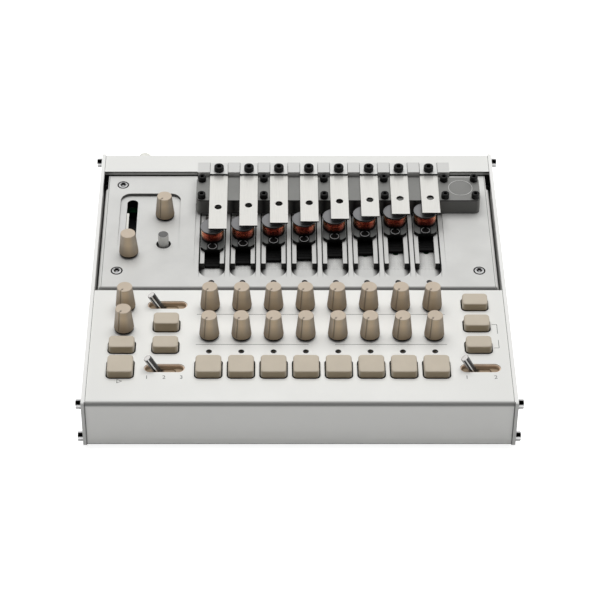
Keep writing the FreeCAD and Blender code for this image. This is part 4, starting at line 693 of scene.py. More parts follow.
def mix_finishes(tones):
    """Every finish of the object, by the name that the pieces use."""
    black = moulded_plastic("black_plastic", tones.black_plastic, 0.45)
    recipes = {
        "paint": shell_paint("shell_paint", tones.paint),
        "side": side_finish("side_paint", tones.side_paint),
        "base": satin_paint("base_paint", tones.base_paint),
        "pale": satin_paint("rear_knob_paint", (0.9, 0.9, 0.87)),
        "deck": deck_finish("deck_metal", tones.deck_metal),
        "bridge": bridge_finish("bridge_metal", tones.bridge_metal),
        "rail": rail_finish("rail_metal", tones.rail_metal),
        "reed": brushed_steel("reed_steel", tones.reed_steel),
        "disc": disc_finish("disc_metal", tones.disc_metal),
        "knob": knob_plastic("knob_plastic", tones.knob_plastic),
        "button": button_plastic("button_plastic", tones.button_plastic),
        "black": black.set(Specular_IOR_Level=0.15),
        "carriage": carriage_plastic("carriage_plastic", tones.black_plastic),
        "liner": liner_finish("liner_plastic", tones.liner_plastic),
        "rubber": moulded_plastic("foot_rubber", (0.09, 0.09, 0.09), 0.75, 2500.0, 0.00008),
        "copper": wire_copper("copper_wire", tones.copper),
        "screw": black_steel("screw_steel", tones.screw_steel, tones.blank_steel),
        "blank": blank_steel("blank_steel", tones.blank_steel),
        "chrome": polished_chrome("lever_chrome"),
        "ink": printed_ink("panel_ink", tones.ink),
        "clear": clear_plastic("pipe_plastic"),
        "lens": smoked_lens("lamp_lens"),
        "board": board_material("board_resist", tones.board_resist),
        "socket": blasted_metal("socket_metal", (0.62, 0.62, 0.6), 0.38, 0.8),
    }
    MATERIALS.update({key: recipe.material for key, recipe in recipes.items()})


def bezier_corners(path, trim, steps=6):
    """A polyline with its inner corners rounded.

    Each corner P between trimmed points A and B becomes (1-s)^2 A + 2s(1-s) P + s^2 B, for s from 0 to 1.
    """
    path = np.asarray(path, float)
    trim = np.broadcast_to(np.asarray(trim, float), (len(path) - 2,))
    corner = path[1:-1]
    before = path[:-2] - corner
    after = path[2:] - corner
    reach_before = np.linalg.norm(before, axis=1)
    reach_after = np.linalg.norm(after, axis=1)
    cut = np.minimum(trim, 0.49 * np.minimum(reach_before, reach_after))
    start = corner + before * (cut / reach_before)[:, None]
    end = corner + after * (cut / reach_after)[:, None]
    s = np.linspace(0.0, 1.0, steps)[None, :, None]
    curve = (1 - s) ** 2 * start[:, None] + 2 * s * (1 - s) * corner[:, None] + s**2 * end[:, None]
    return np.vstack((path[:1], curve.reshape(-1, path.shape[1]), path[-1:]))


def from_grid(points):
    """A shape from a grid of points whose columns close in a ring: its points and its quads.

    The quads are (i,j), (i,j+1), (i+1,j+1), (i+1,j) for row i and column j.
    """
    rows, columns = points.shape[:2]
    i, j = np.meshgrid(np.arange(rows - 1), np.arange(columns), indexing="ij")
    here, above, right = i * columns, (i + 1) * columns, (j + 1) % columns
    quads = np.stack((here + j, here + right, above + right, above + j), -1)
    return points.reshape(-1, 3), quads.reshape(-1, 4)


def full_turn(count):
    """Angles evenly round a circle."""
    return np.linspace(0.0, 2 * math.pi, count, endpoint=False)


def rings(radius, angle, height):
    """Rings about the z axis: x = r cos a, y = r sin a, z = h."""
    height = np.broadcast_to(height, radius.shape)
    return from_grid(np.stack((radius * np.cos(angle), radius * np.sin(angle), height), -1))


def lathe(profile, count=64, ripple=1.0):
    """A surface of revolution of a profile of (r, h), with r times a ripple's factor for each angle."""
    profile = np.asarray(profile, float)
    return rings(profile[:, :1] * np.broadcast_to(ripple, count), full_turn(count), profile[:, 1:])


def rod(radius, low, high, count=32):
    """A closed rod from low to high, with a chamfer of 0.2 at its low end."""
    return lathe([(0.0, low), (radius - 0.2, low), (radius, low + 0.2), (radius, high), (0.0, high)], count)


def hexagon(angle):
    """Distance to a hexagon's edge, with corners at radius 1: cos 30 / cos(a mod 60 - 30), in degrees."""
    return math.cos(math.pi / 6) / np.cos(np.mod(angle, math.pi / 3) - math.pi / 6)


def outline_box(half_x, half_y, radius, steps=7):
    """A rounded rectangle: its corner centres C, its outward normals n, so that a point is C + r n.

    The normals turn once round, a quarter at each corner, and C stays put along each quarter.
    """
    quarter = np.linspace(0.0, math.pi / 2, steps)
    angle = (np.arange(4)[:, None] * math.pi / 2 + quarter[None, :]).ravel()
    side_x = np.repeat((1.0, -1.0, -1.0, 1.0), steps)
    side_y = np.repeat((1.0, 1.0, -1.0, -1.0), steps)
    centre = np.stack((side_x * (half_x - radius), side_y * (half_y - radius)), -1)
    return centre, np.stack((np.cos(angle), np.sin(angle)), -1)


def outline_polygon(corners, trim, steps=4):
    """A convex outline with softened corners: its points and the outward normals between its two edges."""
    corners = np.asarray(corners, float)
    ring = np.vstack((corners[-1:], corners, corners[:1]))
    points = bezier_corners(ring, trim, steps)[1:-1]
    edge = np.roll(points, -1, axis=0) - points
    edge = edge / np.maximum(np.linalg.norm(edge, axis=1, keepdims=True), 1e-9)
    normal = np.stack((edge[:, 1], -edge[:, 0]), -1)
    normal = normal + np.roll(normal, 1, axis=0)
    return points, normal / np.linalg.norm(normal, axis=1, keepdims=True)


def stack_outline(base, normal, rows):
    """A body of offset outlines: point = k (C + r n) at height z, for each row (r, k, z).

    C are the outline's base points and n its normals; k shrinks the outline towards its middle.
    """
    offset, share, level = np.asarray(rows, float).T[:, :, None, None]
    flat = (base + offset * normal) * share
    height = np.broadcast_to(level, (*flat.shape[:2], 1))
    return from_grid(np.concatenate((flat, height), -1))


def soft_rows(radius, low, high, edge, steps=4):
    """Rows (offset, share, height) of a closed block whose top and bottom edges are quarter circles."""
    turn = np.linspace(0.0, math.pi / 2, steps)
    inset = edge * (1 - np.sin(turn))
    rise = edge * (1 - np.cos(turn))
    bottom = np.column_stack((radius - inset, np.ones(steps), low + rise))
    top = np.column_stack((radius - inset, np.ones(steps), high - rise))[::-1]
    return np.vstack(([(radius - edge, 0.0, low)], bottom, top, [(radius - edge, 0.0, high)]))


def block(half_x, half_y, low, high, corner, edge, steps=3):
    """A block about the z axis, with corners rounded in plan and soft top and bottom edges."""
    return stack_outline(*outline_box(half_x, half_y, corner, steps), soft_rows(corner, low, high, edge))


def combine(*shapes):
    """Several shapes as one: the points in a row and the quads with their numbers moved on."""
    offsets = np.cumsum([0] + [len(points) for points, _ in shapes[:-1]])
    points = np.vstack([points for points, _ in shapes])
    return points, np.vstack([faces + offset for (_, faces), offset in zip(shapes, offsets)])


def moved(shape, x=0.0, y=0.0, z=0.0):
    """A shape moved by x, y and z."""
    return shape[0] + np.array((x, y, z)), shape[1]


def turned(shape, axis, degrees):
    """A shape turned about an axis through 0 by the right-hand rule: p' = p R transposed."""
    a = math.radians(degrees)
    c, s = math.cos(a), math.sin(a)
    matrix = {
        "X": ((1, 0, 0), (0, c, -s), (0, s, c)),
        "Y": ((c, 0, s), (0, 1, 0), (-s, 0, c)),
        "Z": ((c, -s, 0), (s, c, 0), (0, 0, 1)),
    }[axis]
    return shape[0] @ np.array(matrix).T, shape[1]


def placed(name, data):
    """A new object in the scene."""
    made = bpy.data.objects.new(name, data)
    bpy.context.scene.collection.objects.link(made)
    return made


def panel_mesh(name, points, faces):
    """A new mesh from points in panel millimetres and lists of their numbers."""
    mesh = bpy.data.meshes.new(name)
    mesh.from_pydata((points * MM + ORIGIN).tolist(), [], faces)
    return mesh


def settle(mesh, finish, body=HOUSING):
    """Make a mesh into a piece of the same name that rides on a body."""
    mesh.materials.append(MATERIALS[finish])
    piece = placed(mesh.name, mesh)
    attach(piece, body)
    return piece


def cast(name, shape, finish, body=HOUSING, sharp=32.0, mark=None):
    """Make a shape in panel millimetres into a smooth piece, with edges past an angle kept sharp."""
    points, faces = shape
    mesh = panel_mesh(name, points, faces.tolist())
    if mark is not None:
        layer = mesh.attributes.new("mark", "FLOAT", "POINT")
        layer.data.foreach_set("value", np.asarray(mark, np.float32))
    work = bmesh.new()
    work.from_mesh(mesh)
    bmesh.ops.remove_doubles(work, verts=work.verts, dist=1e-6)
    bmesh.ops.recalc_face_normals(work, faces=work.faces)
    work.to_mesh(mesh)
    work.free()
    mesh.polygons.foreach_set("use_smooth", np.ones(len(mesh.polygons), bool))
    mesh.set_sharp_from_angle(angle=math.radians(sharp))
    return settle(mesh, finish, body)


def dress(**finishes):
    """Give CAD nodes their finishes."""
    for node, finish in finishes.items():
        materials = frame["nodes"][node].data.materials
        materials.clear()
        materials.append(MATERIALS[finish])


def box(node):
    """The lowest and the highest corner of a CAD node, in panel millimetres."""
    return [(np.array(corner) - ORIGIN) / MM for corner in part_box(node)]


def middle(node):
    """The middle and the top of a CAD node, in panel millimetres."""
    low, high = box(node)
    return (low[0] + high[0]) / 2, (low[1] + high[1]) / 2, high[2]


def has(*prefixes):
    """The CAD nodes whose names start with one prefix or the next, in order."""
    return [name for prefix in prefixes for name in sorted(frame["nodes"]) if name.startswith(prefix)]


CHANNELS = [middle(f"step_button_{step}")[0] for step in range(1, 9)]
REEDS_X = [x + REED_SHIFT for x in CHANNELS]
CLAMP_SCREW_Y = 182.8
BRIDGE_SCREWS_X = [REEDS_X[0] + place for place in (-9.5, 25.5, 59.5, 93.5, 127.5, 144.5)]
BRIDGE_SCREWS_Y = (161.3, 176.8)
DECK_SCREWS = [(side * 99.5, y) for side in (-1, 1) for y in (109.0, 184.7)]


class Piece(bpy.types.Operator):
    """Base of the operators: each builds one group of pieces."""

    bl_options = {"REGISTER", "UNDO"}


class SYNTH_OT_stage(Piece):
    """Set the floor, the lamps, the sky and the camera"""

    bl_idname = "synth.stage"
    bl_label = "Stage"

    def execute(self, context):
        stage = context.scene.synth_stage
        context.scene.view_settings.view_transform = "Standard"
        corners = [(FLOOR_REACH * x, FLOOR_REACH * y, 0.0) for x, y in ((-1, -1), (1, -1), (1, 1), (-1, 1))]
        sheet("floor", corners, floor_material(stage))
        set_sky(context.scene, stage)
        lamp("key_lamp", (0.0, 0.4, 1.6), stage.key_power, 1.6, 1.2)
        lamp("fill_lamp", (0.05, -1.7, 1.3), stage.fill_power, 0.45, 0.6)
        low, bend, back = (-2.4, 0.85), (-2.4, 2.6), (-0.05, 2.6)
        black_card("front_card", low, bend)
        black_card("top_card", bend, back)
        set_camera(context.scene, stage)
        return {"FINISHED"}


def sheet(name, corners, material):
    """One flat sheet with four corners, in metres."""
    mesh = bpy.data.meshes.new(name)
    mesh.from_pydata(corners, [], [(0, 1, 2, 3)])
    mesh.materials.append(material)
    return placed(name, mesh)


def black_card(name, start, end):
    """A wide black card that only reflections and soft light see, between two (y, z) edges."""
    sides = ((-CARD_REACH, start), (CARD_REACH, start), (CARD_REACH, end), (-CARD_REACH, end))
    recipe = Recipe("card_black", (0.05, 0.05, 0.05), 0.9)
    recipe.mottle(4.0, 0.9, 1.1)
    recipe.set(Specular_IOR_Level=0.0)
    card = sheet(name, [(x, *edge) for x, edge in sides], recipe.material)
    card.visible_camera = False
    card.visible_shadow = False
    return card


def lamp(name, place, power, width, depth):
    """A soft rectangular lamp that faces the object."""
    data = bpy.data.lights.new(name, "AREA")
    data.shape = "RECTANGLE"
    data.size = width
    data.size_y = depth
    data.energy = power
    made = placed(name, data)
    made.visible_glossy = False
    made.location = place
    away = np.array(place) - LAMP_AIM
    tilt = math.atan2(math.hypot(away[0], away[1]), away[2])
    made.rotation_euler = (tilt, 0.0, math.atan2(away[0], -away[1]))


def set_camera(scene, stage):
    """The camera in front of the object, tilted down at it."""
    camera = bpy.data.cameras.new("camera")
    camera.lens = stage.lens
    camera.sensor_width = 36.0
    camera.shift_x = 0.0438
    camera.clip_start = 0.05
    camera.clip_end = 60.0
    eye = placed("camera", camera)
    eye.location = CAMERA_PLACE
    eye.rotation_euler = (stage.tilt, 0.0, 0.0)
    scene.camera = eye


def seen_rays(tree):
    """A socket that is 1 for rays from the camera, from gloss and through glass."""
    rays = new_node(tree, "ShaderNodeLightPath").outputs
    mirrored = {0: rays["Is Glossy Ray"], 1: rays["Is Transmission Ray"]}
    mirror = new_node(tree, "ShaderNodeMath", mirrored, operation="ADD", use_clamp=True)
    seen = {0: rays["Is Camera Ray"], 1: mirror.outputs["Value"]}
    return new_node(tree, "ShaderNodeMath", seen, operation="ADD", use_clamp=True).outputs["Value"]


def floor_material(stage):
    """A pale floor that keeps the shadow, with a little light of its own for the rays that see it."""
    material = bpy.data.materials.new("floor_white")
    material.use_nodes = True
    tree = material.node_tree
    noise = new_node(tree, "ShaderNodeTexNoise", {"Scale": 3.0})
    tones = new_node(tree, "ShaderNodeValToRGB", {"Fac": noise.outputs["Fac"]})
    for point, share in zip(tones.color_ramp.elements, (0.98, 1.0)):
        point.color = grey(stage.floor_tone * share)
    glow = new_node(tree, "ShaderNodeMath", {0: seen_rays(tree), 1: stage.floor_glow}, operation="MULTIPLY")
    inputs = {"Base Color": tones.outputs["Color"], "Roughness": 0.9, "Specular IOR Level": 0.0}
    inputs |= {"Emission Color": grey(1.0), "Emission Strength": glow.outputs["Value"]}
    feed(tree, tree.nodes["Principled BSDF"], inputs)
    return material


def set_sky(scene, stage):
    """An even sky: white for the rays that see it, dimmer as light on the object."""
    world = bpy.data.worlds.new("sky")
    scene.world = world
    world.use_nodes = True
    tree = world.node_tree
    inputs = {"To Min": stage.world_strength, "To Max": 1.0, "Value": seen_rays(tree)}
    level = new_node(tree, "ShaderNodeMapRange", inputs)
    feed(tree, tree.nodes["Background"], {"Color": grey(1.0), "Strength": level.outputs["Result"]})


class SYNTH_OT_shell(Piece):
    """Paint the panel, the rear strip, the end plates and the base"""

    bl_idname = "synth.shell"
    bl_label = "Shell"

    def execute(self, context):
        dress(control_panel="paint", rear_shell="paint", side_plates="side")
        dress(base_plate="base", rubber_feet="rubber")
        return {"FINISHED"}


def strip(start, end, width=LINE_WIDTH):
    """A flat printed line from start to end: four corners at half the width to each side."""
    start, end = np.asarray(start, float), np.asarray(end, float)
    along = (end - start) / np.linalg.norm(end - start)
    side = np.array((-along[1], along[0])) * width / 2
    reach = along * width / 2
    flat = np.array((start - reach - side, end + reach - side, end + reach + side, start - reach + side))
    return np.column_stack((flat, np.full(4, INK_TOP))), np.array([[0, 1, 2, 3]])


def threes(items, key, kind=float):
    """One property of some mesh items, as rows of three numbers."""
    flat = np.empty(len(items) * 3, kind)
    items.foreach_get(key, flat)
    return flat.reshape(-1, 3)


def digit(text, x):
    """A printed digit, as the mesh of a text curve, centred on x below a toggle.

    Each triangle (a, b, c) becomes a quad (a, b, c, c), so that digits and lines go in one shape.
    """
    curve = bpy.data.curves.new("digit", "FONT")
    curve.body = text
    curve.size = DIGIT_SIZE
    curve.align_x = "CENTER"
    holder = placed("digit", curve)
    bpy.context.view_layer.update()
    mesh = bpy.data.meshes.new_from_object(holder)
    points = threes(mesh.vertices, "co") + np.array((x, DIGIT_FOOT, INK_TOP))
    mesh.calc_loop_triangles()
    corners = threes(mesh.loop_triangles, "vertices", int)
    bpy.data.objects.remove(holder)
    bpy.data.meshes.remove(mesh)
    bpy.data.curves.remove(curve)
    return points, np.column_stack((corners, corners[:, 2]))


class SYNTH_OT_markings(Piece):
    """Print the lines, the start triangle and the digits on the panel"""

    bl_idname = "synth.markings"
    bl_label = "Markings"

    def execute(self, context):
        halves = ((-54.3, 5.0), (19.2, 78.0))
        lines = [strip((start, y), (end, y)) for y in (69.3, 45.3) for start, end in halves]
        left = middle("play_button")[0]
        corners = [(left - 1.3, 15.7), (left - 1.3, 18.3), (left + 1.2, 17.0)]
        lines += [strip(*side, 0.3) for side in zip(corners, corners[1:] + corners[:1])]
        right = middle("right_button_1")[0]
        lines += bracket(right)
        second = middle("menu_button_1")[0]
        places = [("1", second - 9.0), ("2", second), ("3", second + 9.0)]
        places += [("1", right - 7.5), ("2", right + 7.5)]
        points, faces = combine(*lines, *[digit(text, x) for text, x in places])
        rows = [[*dict.fromkeys(face)] for face in faces.tolist()]
        settle(panel_mesh("panel_markings", points, rows), "ink")
        return {"FINISHED"}


def bracket(right):
    """The two hooked lines beside the right-hand buttons."""
    near, far = right + 8.2, right + 10.8
    upper = [(near, 61.1), (far, 61.1), (far, 54.0)]
    lower = [(far, 48.7), (far, 42.6), (near, 42.6)]
    return [strip(*ends) for hook in (upper, lower) for ends in zip(hook, hook[1:])]


class SYNTH_OT_deck(Piece):
    """Give the deck its blasted metal"""

    bl_idname = "synth.deck"
    bl_label = "Deck"

    def execute(self, context):
        dress(deck_plate="deck")
        return {"FINISHED"}


class SYNTH_OT_bridge(Piece):
    """Finish the bridge and the clamp rail and add the touch ring"""

    bl_idname = "synth.bridge"
    bl_label = "Bridge"

    def execute(self, context):
        dress(resonator_bridge="bridge", clamp_rail="rail")
        top = middle("resonator_bridge")[2]
        ring = [(6.55, top - 0.05), (6.55, top + 0.1), (6.8, top + 0.1), (6.8, top - 0.05)]
        cast("touch_ring", moved(lathe(bezier_corners(ring, 0.04, 4), 96), *TOUCH_RING), "rail")
        pad = [(0.0, top + 0.03), (6.2, top + 0.03), (6.5, top - 0.04)]
        cast("touch_pad", moved(lathe(pad, 96), *TOUCH_RING), "bridge")
        return {"FINISHED"}


class SYNTH_OT_reeds(Piece):
    """Give the reeds their brushed steel"""

    bl_idname = "synth.reeds"
    bl_label = "Reeds"

    def execute(self, context):
        dress(resonators="reed")
        return {"FINISHED"}


def screw_rows(radius, reach, head, tall, socket, chamfer=0.35):
    """Rows (radius, height, hexagon share, mark) of a cap screw, from its shank's end to its socket; the
    marks place painted highlights on the head's edge, its top and the rim of its socket.
    """
    floor = tall - tall * 0.62
    return np.array(
        [
            (0.0, -reach, 0.0, 0.0),
            (radius - 0.25, -reach, 0.0, 0.0),
            (radius, -reach + 0.25, 0.0, 0.0),
            (radius, 0.0, 0.0, 0.0),
            (head - 0.12, 0.0, 0.0, 0.0),
            (head, 0.12, 0.0, 0.0),
            (head, tall - chamfer, 0.0, 0.0),
            (head - chamfer * 0.3, tall - chamfer * 0.3, 0.0, 0.0),
            (head - chamfer * 0.36, tall - chamfer * 0.24, 0.0, 0.75),
            (head - chamfer, tall, 0.0, 0.75),
            (head - chamfer - 0.05, tall, 0.0, 0.12),
            (socket + 0.3, tall, 1.0, 0.12),
            (socket + 0.26, tall, 1.0, 0.9),
            (socket + 0.05, tall - 0.1, 1.0, 0.9),
            (socket, tall - 0.14, 1.0, 0.0),
            (socket, floor, 1.0, 0.0),
            (0.0, floor - 0.35, 0.0, 0.0),
        ]
    )


def flush_rows(reach, head=3.3, depth=1.8):
    """Rows of a countersunk screw whose top lies at height 0, marked round its head and in its socket, where
    the ground steel paints shade and the blackened steel paints highlights.
    """
    return np.array(
        [
            (0.0, -reach, 0.0, 0.0),
            (1.3, -reach, 0.0, 0.0),
            (1.5, -reach + 0.2, 0.0, 0.0),
            (1.5, -depth, 0.0, 1.0),
            (head - 0.02, -0.12, 0.0, 1.0),
            (head - 0.02, 0.0, 0.0, 1.0),
            (head - 0.72, 0.0, 0.0, 1.0),
            (head - 0.76, 0.0, 0.0, 0.0),
            (1.62, 0.0, 1.0, 0.0),
            (1.58, -0.02, 1.0, 1.0),
            (1.38, -0.1, 1.0, 1.0),
            (1.38, -0.5, 1.0, 1.0),
            (0.75, -0.5, 0.0, 1.0),
            (0.72, -0.5, 0.0, 0.4),
            (0.0, -0.5, 0.0, 0.4),
        ]
    )


def revolve_screw(rows, knurl=0.0, count=48):
    """A screw: radius = r ((1 - h) + h q(a)), with q the hexagon and h its share in the row.

    On the head's side the radius has a fine knurl, r (1 + k cos(count a / 2)). Gives the shape and the
    rows' marks, point by point.
    """
    angle = full_turn(count)
    share = rows[:, 2:3]
    radius = rows[:, :1] * ((1 - share) + share * hexagon(angle))
    side = (np.abs(rows[:, 0] - rows[:, 0].max()) < 1e-6)[:, None]
    radius = radius * (1 + knurl * side * np.cos(angle * count / 2))
    return rings(radius, angle, rows[:, 1:2]), np.repeat(rows[:, 3], count)


def set_screws(name, screw, places, finish="screw"):
    """Copies of one marked screw at many places (x, y, z), as one piece."""
    shape, mark = screw
    copies = combine(*[moved(shape, *place) for place in places])
    return cast(name, copies, finish, mark=np.tile(mark, len(places)))


class SYNTH_OT_screws(Piece):
    """Make every screw, deck post and board spacer"""

    bl_idname = "synth.screws"
    bl_label = "Screws"

    def execute(self, context):
        clamp_top = middle("clamp_rail")[2]
        clamp = revolve_screw(screw_rows(1.5, 18.9, 2.75, 3.0, 1.44), KNURL)
        set_screws("clamp_screws", clamp, [(x, CLAMP_SCREW_Y, clamp_top) for x in REEDS_X])
        top = middle("resonator_bridge")[2]
        small = revolve_screw(screw_rows(1.25, 16.3, 2.25, 3.1, 1.17, 0.3), KNURL)
        set_screws("bridge_screws", small, [(x, y, top) for x in BRIDGE_SCREWS_X for y in BRIDGE_SCREWS_Y])
        flush = revolve_screw(flush_rows(14.0))
        set_screws("deck_screws", flush, [(x, y, DECK_TOP) for x, y in DECK_SCREWS], "blank")
        shape, mark = revolve_screw(flush_rows(5.5))
        places = [(x, y, BASE_FACE) for x in (-66.3, 0.0, 66.3) for y in (8.85, 200.15)]
        set_screws("base_screws", (turned(shape, "X", 180), mark), places)
        shape, mark = revolve_screw(screw_rows(1.5, 10.0, 2.75, 3.0, 1.44))
        ends = [(y, z) for y in (3.3, 205.7) for z in (-3.3, -26.3)]
        for side, name in ((-1, "left_screws"), (1, "right_screws")):
            places = [(side * SIDE_FACE, y, z) for y, z in ends]
            piece = set_screws(name, (turned(shape, "Y", 90 * side), 0.0 * mark), places, "blank")
        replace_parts(piece, "fasteners")
        cast("posts_and_spacers", combine(*inner_posts()), "socket")
        return {"FINISHED"}


def inner_posts():
    """The deck posts, and the board spacers with their screws."""
    post = bezier_corners([(1.6, -10.0), (3.5, -10.0), (3.5, POST_FOOT), (0.0, POST_FOOT)], 0.3, 3)
    shapes = [moved(lathe(post, 32), x, y) for x, y in DECK_SCREWS]
    main = [(x, y, -13.6) for x in (-103.5, 12.1, 103.5) for y in (16.0, 101.5)]
    driver = [(x, y, -21.6) for x in (-103.4, 88.0) for y in (118.0, 176.0)]
    rear = [(x, 188.0, -22.5) for x in (-90.5, 91.5)]
    pan, _ = revolve_screw(screw_rows(1.25, 5.0, 2.4, 1.6, 1.0, 0.3))
    for x, y, top in main + driver + rear:
        spacer = [(1.3, top - 4.0), (1.3, top), (2.6, top), (2.6, POST_FOOT), (0.0, POST_FOOT)]
        shapes += [moved(lathe(spacer, 24), x, y), moved(pan, x, y, top + 1.6)]
    return shapes


def knob_shape(sizes, top, pointer=1.0):
    """A tapered cap with a rounded rim: r falls evenly from the foot to the crown.

    Near the pointer's angle p the side sinks by d w(a), with w = 1 inside the groove's width and a
    quick fall to 0, and the top has a small dent on the same side.
    Gives the shape and a mask of painted shade that is 0.6 in the groove and 1 in the dent.
    """
    foot, crown = sizes.foot / MM, sizes.crown / MM
    low = top - (sizes.tall - sizes.collar) / MM
    brim = [(foot - 0.55, low), (foot, low + 0.4), (crown, top), (crown - 0.6, top)]
    hollow = [(1.4, top - 0.1), (0.0, top - 0.1)]
    side = bezier_corners(brim + hollow, (0.35, sizes.rim / MM, 0.1, 0.1))
    taper = np.linspace(0.02, 0.98, 9)[:, None]
    between = side[6] * (1 - taper) + side[7] * taper
    inwards = np.linspace(0.1, 0.95, 10)[:, None]
    last = np.argmax(side[:, 0] < crown - 0.62)
    flat = side[last] * (1 - inwards) + side[-1] * inwards
    profile = np.vstack((side[:7], between, side[7:last], flat, side[-1:]))
    radius, height = profile[:, :1], profile[:, 1:]
    width = sizes.groove / MM
    spread = 2.2 * width / 2 / 4.7
    fine = np.linspace(-spread, spread, 15)
    offset = np.concatenate((fine, np.linspace(spread, 2 * math.pi - spread, 60)[1:-1]))
    arc = np.abs(offset) * radius
    window = 1 / (1 + np.exp((arc - width / 2) * 14.0))
    on_side = ((height > low + 0.5) & (radius > crown - 0.75)).astype(float)
    sunk = radius - pointer * sizes.groove_depth / MM * window * on_side
    dent = np.exp(-(((radius - 2.4) / 0.55) ** 2)) * (height > top - 1.0) * (arc < 0.5)
    mask = pointer * np.clip(window * on_side * 0.6 + dent, 0.0, 1.0)
    return rings(sunk, sizes.pointer + offset, height - pointer * 0.22 * dent), mask.ravel()


def knob_collar(sizes, top, bore):
    """The black collar under a cap."""
    low = top - sizes.tall / MM
    high = low + sizes.collar / MM + 0.3
    profile = [(bore, high), (bore, low + 0.05), (4.9, low + 0.05), (5.15, low + 0.4), (5.1, high)]
    return lathe(bezier_corners(profile, 0.12, 4), 48)


def make_knob(node, shaft, top, place, finish="knob", turns=()):
    """The cap, the collar and the shaft of one knob, turned and moved to where its CAD node stands."""
    sizes = bpy.context.scene.synth_knobs
    cap, mask = knob_shape(sizes, top)
    under = combine(knob_collar(sizes, top, SHAFT), shaft)
    for axis, degrees in turns:
        cap, under = turned(cap, axis, degrees), turned(under, axis, degrees)
    piece = cast(f"{node}_cap", moved(cap, *place), finish, node, mark=mask)
    cast(f"{node}_collar", moved(under, *place), "black", node)
    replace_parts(piece, node)


class SYNTH_OT_knobs(Piece):
    """Make the knobs of the panel, the deck and the rear wall"""

    bl_idname = "synth.knobs"
    bl_label = "Knobs"

    def execute(self, context):
        for node in has("front_knob", "rear_knob", "left_front_knob", "left_rear_knob", "deck_knob"):
            x, y, top = middle(node)
            make_knob(node, rod(SHAFT, box(node)[0][2], top - SHAFT_END), top, (x, y))
        low, high = box("rear_wall_knob")
        x, _, z = (low + high) / 2
        inner, outer = low[1], high[1] - SHAFT_END
        shaft = lathe([(0.0, inner), (SHAFT, inner), (SHAFT, outer), (0.0, outer)], 32)
        laid = (("Z", 180), ("X", -90))
        make_knob("rear_wall_knob", shaft, high[1], (x, 0.0, z), "pale", laid)
        return {"FINISHED"}


class SYNTH_OT_fader(Piece):
    """Make the fader's cap, stem and block"""

    bl_idname = "synth.fader"
    bl_label = "Fader"

    def execute(self, context):
        sizes = context.scene.synth_knobs
        bottom = box("fader_cap")[0][2]
        x, y, top = middle("fader_cap")
        shape, mask = knob_shape(sizes, top, 0.0)
        cap = cast("fader_cap_top", moved(shape, x, y), "knob", "fader_cap", mark=mask)
        stem = block(1.5, 2.0, bottom + 4.0, top - SHAFT_END, 0.3, 0.1)
        slider = block(2.4, 3.5, bottom, bottom + 4.0, 0.4, 0.2)
        under = combine(knob_collar(sizes, top, 2.6), stem, slider)
        cast("fader_cap_stem", moved(under, x, y), "black", "fader_cap")
        lip = block(0.66, 20.6, -5.6, -4.7, 0.2, 0.1)
        cast("fader_lip", moved(lip, x - 2.28, 140.4), "pale")
        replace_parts(cap, "fader_cap")
        return {"FINISHED"}


def make_button(node):
    """One button: rows of rounded rectangles from the plunger and the skirt up to the domed top."""
    sizes = bpy.context.scene.synth_buttons
    low, high = box(node)
    x, y, top = middle(node)
    skirt, corner, edge, dome = sizes.skirt / MM, sizes.corner / MM, sizes.edge / MM, sizes.dome / MM
    half_x, half_y, _ = (high - low) / 2 - skirt
    turn = np.linspace(0.0, math.pi / 2, 8)
    level = top - dome - edge * (1 - np.sin(turn))
    rounding = np.column_stack((corner - edge * (1 - np.cos(turn)), np.ones(8), level))
    share = np.linspace(1.0, 0.0, 8)[1:]
    crown = np.column_stack((np.full(7, corner - edge), share, top - dome * share**2))
    foot = [(corner + skirt, 0.0, -3.4), (corner + skirt, 1.0, -3.4), (corner + skirt, 1.0, -2.4)]
    wall = [(corner, 1.0, -2.4), (corner, 1.0, -2.2)]
    cap = stack_outline(*outline_box(half_x, half_y, corner), np.vstack((foot, wall, rounding, crown)))
    shape = moved(combine(cap, rod(1.7, low[2], -3.3, 24)), x, y)
    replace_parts(cast(f"{node}_cap", shape, "button", node, sharp=40.0), node)


class SYNTH_OT_buttons(Piece):
    """Make the fifteen button caps"""

    bl_idname = "synth.buttons"
    bl_label = "Buttons"

    def execute(self, context):
        for node in has("step_button", "menu_button", "right_button", "play_button", "left_button"):
            make_button(node)
        return {"FINISHED"}


def lever_shape():
    """A round bar with a flat end and the hub on its pin, leant to the left about the pin."""
    profile = [(0.0, 0.0), (2.0, 0.0), (2.0, 6.0), (2.1, 16.0), (2.1, 18.4), (0.0, 18.4)]
    bar = lathe(bezier_corners(profile, (0.1, 1.0, 1.0, 0.55), 5), 48)
    hub = lathe([(0.85, -2.2), (2.0, -2.2), (2.0, 2.2), (0.85, 2.2), (0.85, -2.2)], 40)
    return turned(combine(bar, turned(hub, "X", 90)), "Y", -LEAN)


